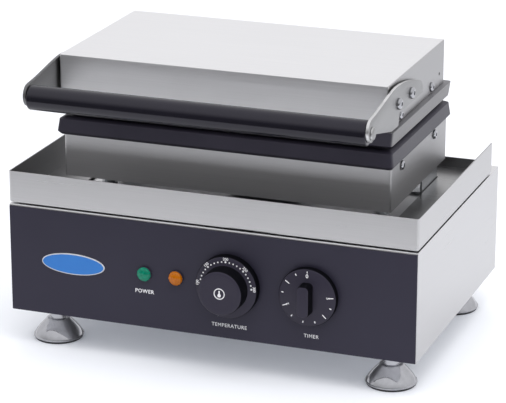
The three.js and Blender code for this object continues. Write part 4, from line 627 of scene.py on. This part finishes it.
def rounded(profile, corner, radius):
    """The profile with one corner replaced by a curve of about the given radius."""
    before, at, after = (Vector(profile[i]) for i in (corner - 1, corner, corner + 1))
    a = at + (before - at).normalized() * radius
    b = at + (after - at).normalized() * radius
    curve = []
    for i in range(ARC_STEPS + 1):
        t = i / ARC_STEPS
        curve.append(tuple((1 - t) ** 2 * a + 2 * t * (1 - t) * at + t**2 * b))
    return list(profile[:corner]) + curve + list(profile[corner + 1 :])


def ends_of(node):
    """The two opposite corners of a carried piece's box."""
    return [Vector(corner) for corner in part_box(node)]


print("spin helpers ready")

# %% [markdown]
# Levelling feet
#
# Each foot stands on a black rubber sole. Over it sits a chromed cone with a thin rim and a narrow
# shoulder, and from that a straight neck and a stud go up into the cabinet.

# %% Feet
SOLE = [(0, 0), (25.4, 0), (26, 0.5), (26, 2.2), (0, 2.2)]
FOOT_RIM = [(0, 2.2), (26, 2.2), (26.9, 2.4), (27.2, 2.8), (27.2, 3.6), (26.9, 4.0), (26.2, 4.3)]
FOOT_CONE = [(25.2, 6.4), (23.8, 8.7), (21.6, 11.6), (18.6, 15.0), (12.8, 21.5)]
FOOT_SHOULDER = [(12.4, 22.1), (11.8, 22.4), (8.9, 22.4), (8.5, 22.7), (8.4, 23.2)]
FOOT_NECK = [(8.4, 38.7), (8.1, 39.05)]
FOOT_STUD = [(5, 39.05), (5, 54.5), (4.4, 55.1), (0, 55.1)]
for name in ("foot_front_left", "foot_front_right", "foot_rear_left", "foot_rear_right"):
    low, high = ends_of(name)
    centre = (low + high) / 2
    centre.z = 0
    bell = spun(FOOT_RIM + FOOT_CONE + FOOT_SHOULDER + FOOT_NECK + FOOT_STUD, centre, (0, 0, 1))
    keep(bell, "bell_" + name, foot_chrome, name, [name])
    keep(spun(SOLE, centre, (0, 0, 1)), "sole_" + name, gland_nylon, name)
print("four feet spun")

# %% [markdown]
# Handle
#
# The handle is a glossy black bar with softly rounded ends, held between the bracket tips.

# %% Handle bar
HANDLE_END_ROUND = 2.0
low, high = ends_of("handle")
bar_radius = (high.z - low.z) / 2 / MM
bar_length = (high.x - low.x) / MM
bar = [(0, 0), (bar_radius, 0), (bar_radius, bar_length), (0, bar_length)]
bar = rounded(rounded(bar, 2, HANDLE_END_ROUND), 1, HANDLE_END_ROUND)
left_end = (low.x, (low.y + high.y) / 2, (low.z + high.z) / 2)
handle_bar = spun(bar, left_end, (1, 0, 0), BAR_STEPS)
keep(handle_bar, "handle_bar", grip_plastic, "lid", ["handle"])
print("handle", round(bar_length, 1), "mm long")

# %% [markdown]
# Handle brackets
#
# Each sail-shaped bracket is the imported plate again, with a short tab let down from its straight lower
# edge. The tab covers the seam between the lid's cover and the casting, just behind the cover's front.
# The heights are over the floor, and the tab's places run from front to back. The left bracket shows its
# narrow edge against the light, so that edge gets painted shade: a much darker steel.

# %% Brackets
BRACKET_EDGE = 283.7
TAB_EDGE = 271.0
TAB_STARTS, TAB_FULL_TO, TAB_ENDS = -103.0, -81.0, -77.0
NEAR_ENOUGH = 0.1
BRACKET_ROUNDING = 0.6
for name in ("bracket_left", "bracket_right"):
    plate = bmesh.new()
    plate.from_mesh(nodes[name].data)
    bmesh.ops.remove_doubles(plate, verts=plate.verts, dist=SAME_POINT * MM)
    for y in (TAB_STARTS, TAB_FULL_TO, TAB_ENDS):
        everything = plate.verts[:] + plate.edges[:] + plate.faces[:]
        bmesh.ops.bisect_plane(plate, geom=everything, plane_co=(0, y * MM, 0), plane_no=(0, 1, 0))
    for vert in plate.verts:
        y, z = vert.co.y / MM, vert.co.z / MM
        on_edge = abs(z - BRACKET_EDGE) < NEAR_ENOUGH
        if on_edge and TAB_STARTS - NEAR_ENOUGH < y < TAB_FULL_TO + NEAR_ENOUGH:
            vert.co.z = TAB_EDGE * MM
    bmesh.ops.recalc_face_normals(plate, faces=plate.faces)
    sail = keep(plate, "sail_" + name, bracket_steel, "lid", [name])
    if name == "bracket_left":
        # Painted shade on the left bracket's rim.
        paint_wall_shade(sail, bracket_rim_shade, (1, 0, 0))
    round_edges(sail, BRACKET_ROUNDING)
print("brackets made")

# %% [markdown]
# Domed bolts
#
# A bolt is spun in one piece, shank and head. The head is a shallow dome with a low rim and a flat
# crown, and all but the handle's bolts have a round socket sunk into the crown.

# %% Bolts and screws
RIM_SHARE, CROWN_SHARE = 0.28, 0.42
SOCKET_SHARE, SOCKET_DEPTH_SHARE = 0.38, 0.45
DOME_STEPS = 6
# The body it rides on, the radius and height of its head, its shank's radius, its finish, and whether it
# has a socket.
BOLTS = {
    "bracket_bolt": ("lid", 6.0, 3.4, 2.5, foot_chrome, True),
    "cover_screw": ("lid", 5.2, 2.5, 2.0, foot_chrome, True),
    "pedestal_screw": ("base", 5.2, 2.5, 2.0, foot_chrome, True),
    "handle_bolt": ("lid", 6.8, 2.5, 4.0, bracket_steel, False),
}


def domed_bolt(replaced, body, head_radius, head_height, shank_radius, finish, socket):
    low, high = ends_of(replaced)
    side = 1 if (low.x + high.x) > 0 else -1
    y, z = (low.y + high.y) / 2, (low.z + high.z) / 2
    top = (high.x - low.x) / MM
    seat = top - head_height
    rim = seat + RIM_SHARE * head_height
    profile = [(0, 0), (shank_radius, 0), (shank_radius, seat), (head_radius, seat), (head_radius, rim)]
    for i in range(1, DOME_STEPS + 1):
        angle = i / DOME_STEPS * math.pi / 2
        across = CROWN_SHARE + (1 - CROWN_SHARE) * math.cos(angle)
        profile.append((across * head_radius, rim + (1 - RIM_SHARE) * head_height * math.sin(angle)))
    if socket:
        bottom = top - SOCKET_DEPTH_SHARE * head_height
        profile += [(SOCKET_SHARE * head_radius, top), (SOCKET_SHARE * head_radius, bottom), (0, bottom)]
    else:
        profile.append((0, top))
    start = (low.x if side > 0 else high.x, y, z)
    solid = spun(profile, start, (side, 0, 0), SMALL_STEPS)
    keep(solid, "domed_" + replaced, finish, body, [replaced])


for name in sorted(nodes):
    for kind, settings in BOLTS.items():
        if name.startswith(kind):
            domed_bolt(name, *settings)
print("bolts spun")

# %% [markdown]
# Knobs
#
# Both knobs are satin black mouldings. The temperature knob has a wide skirt with a scale and a round
# grip. The timer knob is a flat dial with a bar across it to turn it by. Their side walls get painted
# shade, a near-black copy of the finish, which is what makes the rims stand out.

# %% Temperature knob
HUB_SINK = 0.35
low, high = ends_of("temperature_knob")
temperature_centre = Vector(((low.x + high.x) / 2, high.y, (low.z + high.z) / 2))
skirt = (high.x - low.x) / 2 / MM
grip_end = (high.y - low.y) / MM
knob_profile = [
    (0, 0.0),
    (skirt - 0.4, 0.0),
    (skirt, 0.4),
    (skirt, 8.4),
    (skirt - 0.5, 9.3),
    (skirt - 1.4, 9.8),
    (25.4, 11.0),
    (24.4, 11.4),
    (23.9, grip_end - 2.4),
    (23.4, grip_end - 1.1),
    (22.4, grip_end - 0.35),
    (20.8, grip_end),
    (19.0, grip_end - 0.1),
    (0, grip_end - HUB_SINK),
]
temperature = spun(knob_profile, temperature_centre, (0, -1, 0), KNOB_STEPS)
knob = keep(
    temperature,
    "temperature_grip",
    knob_plastic,
    "temperature_control",
    ["temperature_knob"],
)
# Painted shade on the knob's side walls.
paint_wall_shade(knob, painted_shade_black)
print("temperature knob spun")

# %% Timer dial
low, high = ends_of("timer_knob")
timer_centre = Vector(((low.x + high.x) / 2, high.y, (low.z + high.z) / 2))
dial = (high.x - low.x) / 2 / MM
bar_end = (high.y - low.y) / MM
dial_profile = [
    (0, 0.0),
    (dial - 0.4, 0.0),
    (dial, 0.4),
    (dial, 6.6),
    (dial - 0.5, 7.5),
    (dial - 1.3, 8.0),
    (19.5, 8.6),
    (17.0, 9.4),
    (12.0, 10.3),
    (0, 10.5),
]
timer_dial = spun(dial_profile, timer_centre, (0, -1, 0), KNOB_STEPS)
dial_piece = keep(timer_dial, "timer_dial", knob_plastic, "timer_control", ["timer_knob"])
# Painted shade on the dial's side walls.
paint_wall_shade(dial_piece, painted_shade_black)
print("timer dial spun")

# %% Timer bar
BAR_WIDTH, BAR_LENGTH, BAR_FOOT = 14, 34, 6
BAR_CORNER, BAR_RIM = 4.5, 1.0
CROWN_SCALE = (0.88, 0.95, 1)
LEVEL = 0.1 * MM

grip = bmesh.new()
bmesh.ops.create_cube(grip, size=1)
bar_size = (BAR_WIDTH * MM, BAR_LENGTH * MM, (bar_end - BAR_FOOT) * MM)
bmesh.ops.scale(grip, vec=bar_size, verts=grip.verts)


def bar_rise(edge):
    return abs(edge.verts[0].co.z - edge.verts[1].co.z)


def round_off(edges, width, steps):
    bmesh.ops.bevel(
        grip, geom=edges, offset=width * MM, segments=steps, profile=0.5, affect="EDGES", material=-1
    )


round_off([edge for edge in grip.edges if bar_rise(edge) > 1 * MM], BAR_CORNER, 5)
crown = [vert for vert in grip.verts if vert.co.z > 0]
bmesh.ops.scale(grip, vec=CROWN_SCALE, verts=crown)
rim = [e for e in grip.edges if all(vert.co.z > 0 for vert in e.verts) and bar_rise(e) < LEVEL]
round_off(rim, BAR_RIM, 3)
grip_centre = timer_centre + Vector((0, -(bar_end + BAR_FOOT) / 2 * MM, 0))
move = Matrix.Translation(grip_centre) @ place_on_axis((0, -1, 0))
bmesh.ops.transform(grip, matrix=move, verts=grip.verts)
# Painted shade on the bar's side walls.
paint_wall_shade(keep(grip, "timer_bar", knob_plastic, "timer_control"), painted_shade_black)
print("timer bar made")

# %% [markdown]
# Printed marks
#
# Scales and captions are thin white ink. Each mark is a hair-thin solid that lies on the surface it is
# printed on: dots and ticks are small flat blocks, and figures come from the built-in font.

# %% Ink helpers
INK = 0.12
TYPE_SIZE_SHARE = 1.38


def ink_dot(solid, centre, radius, towards=(0, -1, 0)):
    """A round dot on the surface that faces an axis."""
    found = bmesh.ops.create_circle(solid, cap_ends=True, segments=16, radius=radius * MM)
    face = [f for f in solid.faces if found["verts"][0] in f.verts]
    raised = bmesh.ops.extrude_face_region(solid, geom=face)
    tops = [v for v in raised["geom"] if isinstance(v, bmesh.types.BMVert)]
    bmesh.ops.translate(solid, vec=(0, 0, INK * MM), verts=tops)
    move = Matrix.Translation(centre) @ place_on_axis(towards)
    bmesh.ops.transform(solid, matrix=move, verts=found["verts"] + tops)


def ink_bar(solid, centre, width, height, turn=0):
    """A flat bar on a front-facing surface, turned clockwise by an angle in degrees."""
    made = bmesh.ops.create_cube(solid, size=1)
    matrix = (
        Matrix.Translation(centre)
        @ Matrix.Rotation(math.radians(turn), 4, "Y")
        @ Matrix.Diagonal((width * MM, INK * MM, height * MM, 1))
    )
    bmesh.ops.transform(solid, matrix=matrix, verts=made["verts"])


def ink_text(solid, words, centre, height, turn=0.0, weight=0.03, spacing=1.0):
    """Adds raised lettering to a bmesh, upright at turn 0 and centred on a point."""
    letters = bpy.data.curves.new("letters", "FONT")
    letters.body = words
    letters.size = height * MM * TYPE_SIZE_SHARE
    letters.align_x = "CENTER"
    letters.align_y = "CENTER"
    letters.extrude = INK * MM / 2
    letters.offset = weight * height * MM
    letters.space_character = spacing
    letters.resolution_u = 3
    stencil = bpy.data.objects.new("stencil", letters)
    bpy.context.scene.collection.objects.link(stencil)
    bpy.context.view_layer.update()
    flat = bpy.data.meshes.new_from_object(stencil)
    matrix = (
        Matrix.Translation(centre)
        @ Matrix.Rotation(math.radians(turn), 4, "Y")
        @ Matrix.Rotation(math.pi / 2, 4, "X")
    )
    flat.transform(matrix)
    solid.from_mesh(flat)
    bpy.data.objects.remove(stencil)
    bpy.data.curves.remove(letters)
    bpy.data.meshes.remove(flat)


def on_face(centre, radius, clock, out):
    """A point on a dial that faces the front: radius, clockwise angle from the top, and distance out."""
    angle = math.radians(clock)
    return centre + Vector((radius * MM * math.sin(angle), -out * MM, radius * MM * math.cos(angle)))


print("ink helpers ready")

# %% Temperature scale
TEMPERATURES = {"100": -86, "150": -43, "200": 0, "250": 43, "300": 86}
FIGURE_RING, FIGURE_OUT, FIGURE_HEIGHT = 31.2, 10.35, 2.9
DOT_RING, DOT_OUT = 28.3, 10.55
BIG_DOT, SMALL_DOT, DOTS_A_STEP = 1.1, 0.85, 5
BADGE_RING, BADGE_TICKS, BADGE_TICK, BADGE_OUT = 5.5, 40, (0.95, 1.1), 0.08
STEM_UP, STEM_SIZE, STEM_OUT = 1.2, (1.5, 4.4), 0.1
BULB_UP, BULB_RADIUS, BULB_OUT = -1.8, 1.9, 0.05

scale = bmesh.new()
for label, angle in TEMPERATURES.items():
    place = on_face(temperature_centre, FIGURE_RING, angle, FIGURE_OUT)
    ink_text(scale, label, place, FIGURE_HEIGHT, angle)
figure_angles = list(TEMPERATURES.values())
for start, end in zip(figure_angles, figure_angles[1:]):
    for i in range(DOTS_A_STEP):
        angle = start + (end - start) * i / DOTS_A_STEP
        size = BIG_DOT if i == 0 else SMALL_DOT
        ink_dot(scale, on_face(temperature_centre, DOT_RING, angle, DOT_OUT), size)
ink_dot(scale, on_face(temperature_centre, DOT_RING, figure_angles[-1], DOT_OUT), BIG_DOT)
hub = grip_end - HUB_SINK
for i in range(BADGE_TICKS):
    turn = i * 360 / BADGE_TICKS
    ink_bar(scale, on_face(temperature_centre, BADGE_RING, turn, hub + BADGE_OUT), *BADGE_TICK, turn)
ink_bar(scale, on_face(temperature_centre, STEM_UP, 0, hub + STEM_OUT), *STEM_SIZE)
ink_dot(scale, on_face(temperature_centre, BULB_UP, 0, hub + BULB_OUT), BULB_RADIUS)
keep(scale, "temperature_scale", white_ink, "temperature_control")
print("temperature scale printed")

# %% Timer scale
ZERO_RING, ZERO_OUT, ZERO_HEIGHT = 23.4, 8.5, 4.2
ZERO_TICK_RING, ZERO_TICK_OUT, ZERO_TICK_WIDTH = 27.6, 8.15, 0.8
TICK_ANGLES = (-27, -83, -142, -171, -199, -251)
TICK_WIDTH, TICK_LENGTH, TICK_RING, TICK_OUT = 1.1, 2.2, 26.6, 8.3
LONG_TICK_ANGLES = (-55, -113, -226, -276)
LONG_TICK_WIDTH, LONG_TICK_LENGTH, LONG_TICK_RING, LONG_TICK_OUT = 0.95, 5.4, 25.8, 8.35
MINUTES = {"2": -113, "5": -276}
MINUTE_RING, MINUTE_OUT, MINUTE_HEIGHT = 22.4, 8.45, 3.4

minutes = bmesh.new()
ink_text(minutes, "0", on_face(timer_centre, ZERO_RING, 0, ZERO_OUT), ZERO_HEIGHT)
ink_bar(minutes, on_face(timer_centre, ZERO_TICK_RING, 0, ZERO_TICK_OUT), ZERO_TICK_WIDTH, TICK_LENGTH)
for angle in TICK_ANGLES:
    ink_bar(minutes, on_face(timer_centre, TICK_RING, angle, TICK_OUT), TICK_WIDTH, TICK_LENGTH, angle)
for angle in LONG_TICK_ANGLES:
    place = on_face(timer_centre, LONG_TICK_RING, angle, LONG_TICK_OUT)
    ink_bar(minutes, place, LONG_TICK_WIDTH, LONG_TICK_LENGTH, angle)
for label, angle in MINUTES.items():
    ink_text(minutes, label, on_face(timer_centre, MINUTE_RING, angle, MINUTE_OUT), MINUTE_HEIGHT, angle)
keep(minutes, "timer_scale", white_ink, "timer_control")
print("timer scale printed")

# %% Captions on the fascia
CABINET_FLOOR = 39.4
CAPTION_OUT = 0.03
CAPTION_SPACING = 1.1
HEAVY, FINE = 0.03, 0.005
# The words, their place across and up, the height of the letters, and their weight.
CAPTIONS = (
    ("POWER", -70.9, 40.2, 4.2, HEAVY),
    ("TEMPERATURE", 23.7, 14.4, 4.0, FINE),
    ("TIMER", 113.5, 15.2, 4.0, FINE),
)
DASH_X, DASH_Z, DASH_SIZE = 12.4, 24.4, (2.6, 0.9)
fascia_face = ends_of("front_fascia")[0].y


def on_fascia(x, z, out=0.0):
    """A point on the fascia: from the machine's middle, over the cabinet's floor, and out in front."""
    return Vector((x * MM, fascia_face - out * MM, (CABINET_FLOOR + z) * MM))


captions = bmesh.new()
for words, x, z, size, weight in CAPTIONS:
    ink_text(captions, words, on_fascia(x, z, CAPTION_OUT), size, 0.0, weight, CAPTION_SPACING)
ink_bar(captions, on_fascia(DASH_X, DASH_Z, CAPTION_OUT), *DASH_SIZE)
keep(captions, "printed_captions", white_ink, "base")
print("captions printed")

# %% [markdown]
# Pilot lamps
#
# Each lamp has a thin black bezel and a coloured lens shaped like a shallow dome.

# %% Lamps on the fascia
BARREL_RADIUS, BEZEL_RADIUS, SOCKET_RADIUS = 5.6, 8.0, 4.2
BEZEL_DEPTH, SOCKET_DEPTH = 1.6, 3.2
SPIGOT_RADIUS, LENS_RADIUS, LENS_SEAT, LENS_STEPS = 4, 7.7, 3.3, 8
for colour, glass in (("green", green_lens), ("amber", amber_lens)):
    body_node, lens_node = colour + "_lamp_body", colour + "_lamp_lens"
    low, high = ends_of(body_node)
    centre = Vector(((low.x + high.x) / 2, high.y, (low.z + high.z) / 2))
    barrel = (high.y - low.y) / MM
    bezel = [
        (0, 0),
        (BARREL_RADIUS, 0),
        (BARREL_RADIUS, barrel - BEZEL_DEPTH),
        (BEZEL_RADIUS, barrel - BEZEL_DEPTH),
        (BEZEL_RADIUS, barrel - 0.7),
        (BEZEL_RADIUS - 0.4, barrel - 0.2),
        (BEZEL_RADIUS - 1, barrel),
        (SOCKET_RADIUS, barrel),
        (SOCKET_RADIUS, barrel - SOCKET_DEPTH),
        (0, barrel - SOCKET_DEPTH),
    ]
    ring = spun(bezel, centre, (0, -1, 0), SMALL_STEPS)
    keep(ring, colour + "_bezel", knob_plastic, "base", [body_node])
    low, high = ends_of(lens_node)
    centre = Vector(((low.x + high.x) / 2, high.y, (low.z + high.z) / 2))
    reach = (high.y - low.y) / MM
    dome = [(0, 0), (SPIGOT_RADIUS, 0), (SPIGOT_RADIUS, LENS_SEAT)]
    for i in range(LENS_STEPS):
        angle = i / LENS_STEPS * math.pi / 2
        dome.append((LENS_RADIUS * math.cos(angle), LENS_SEAT + (reach - LENS_SEAT) * math.sin(angle)))
    dome.append((0, reach))
    lens = spun(dome, centre, (0, -1, 0), SMALL_STEPS)
    keep(lens, colour + "_dome", glass, "base", [lens_node])
print("lamps made")

# %% [markdown]
# Oval plate
#
# The fascia carries a small oval plate at its left end: a plain blue enamel field inside a slim raised
# rim.

# %% Oval plate
OVAL_X, OVAL_Z = -151.9, 60
RIM_WIDTH, RIM_HEIGHT, RIM_FROM, RIM_TO, RIM_INSET = 72.2, 23.4, 0.02, 0.8, 0.6
FIELD_WIDTH, FIELD_HEIGHT, FIELD_TO, FIELD_INSET = 69.6, 21, 1.0, 0.3


def oval(width, height, low, high, inset):
    """An oval slab on the fascia between two distances out, smaller at its top by the inset."""
    solid = bmesh.new()
    ring = bmesh.ops.create_circle(solid, cap_ends=True, segments=72, radius=0.5)
    bmesh.ops.scale(solid, vec=(width * MM, height * MM, 1), verts=ring["verts"])
    raised = bmesh.ops.extrude_face_region(solid, geom=solid.faces[:])
    tops = [v for v in raised["geom"] if isinstance(v, bmesh.types.BMVert)]
    bmesh.ops.translate(solid, vec=(0, 0, (high - low) * MM), verts=tops)
    bmesh.ops.scale(solid, vec=(1 - inset / width, 1 - inset / height, 1), verts=tops)
    move = Matrix.Translation(on_fascia(OVAL_X, OVAL_Z, low)) @ place_on_axis((0, -1, 0))
    bmesh.ops.transform(solid, matrix=move, verts=ring["verts"] + tops)
    return solid


plate_rim = oval(RIM_WIDTH, RIM_HEIGHT, RIM_FROM, RIM_TO, RIM_INSET)
rim_enamel = moulded("rim_enamel", "fascia", (0.60, 0.61, 0.64), (0.70, 0.71, 0.74), 0.35, 300, 0.02)
keep(plate_rim, "oval_plate_rim", rim_enamel, "base")
plate_field = oval(FIELD_WIDTH, FIELD_HEIGHT, RIM_TO, FIELD_TO, FIELD_INSET)
field_enamel = moulded("blue_enamel", "fascia", (0.015, 0.16, 0.55), (0.025, 0.22, 0.66), 0.3, 300, 0.03)
keep(plate_field, "oval_plate_field", field_enamel, "base")
print("oval plate made")

# %% [markdown]
# A small round hole shows in the cover's right wall, near the back. It is painted shade: a flat black
# dot, thin as ink.

# %% Small hole in the cover's right side
HOLE_Y, HOLE_Z, HOLE_RADIUS = 80.2, 282.6, 1.7
cover_right = ends_of("lid_cover")[1].x
side_hole = bmesh.new()
# Painted shade for the hole: a near-black dot.
ink_dot(side_hole, Vector((cover_right, HOLE_Y * MM, HOLE_Z * MM)), HOLE_RADIUS, (1, 0, 0))
keep(side_hole, "cover_side_hole_shade", painted_shade_black, "lid")
print("hole marked")
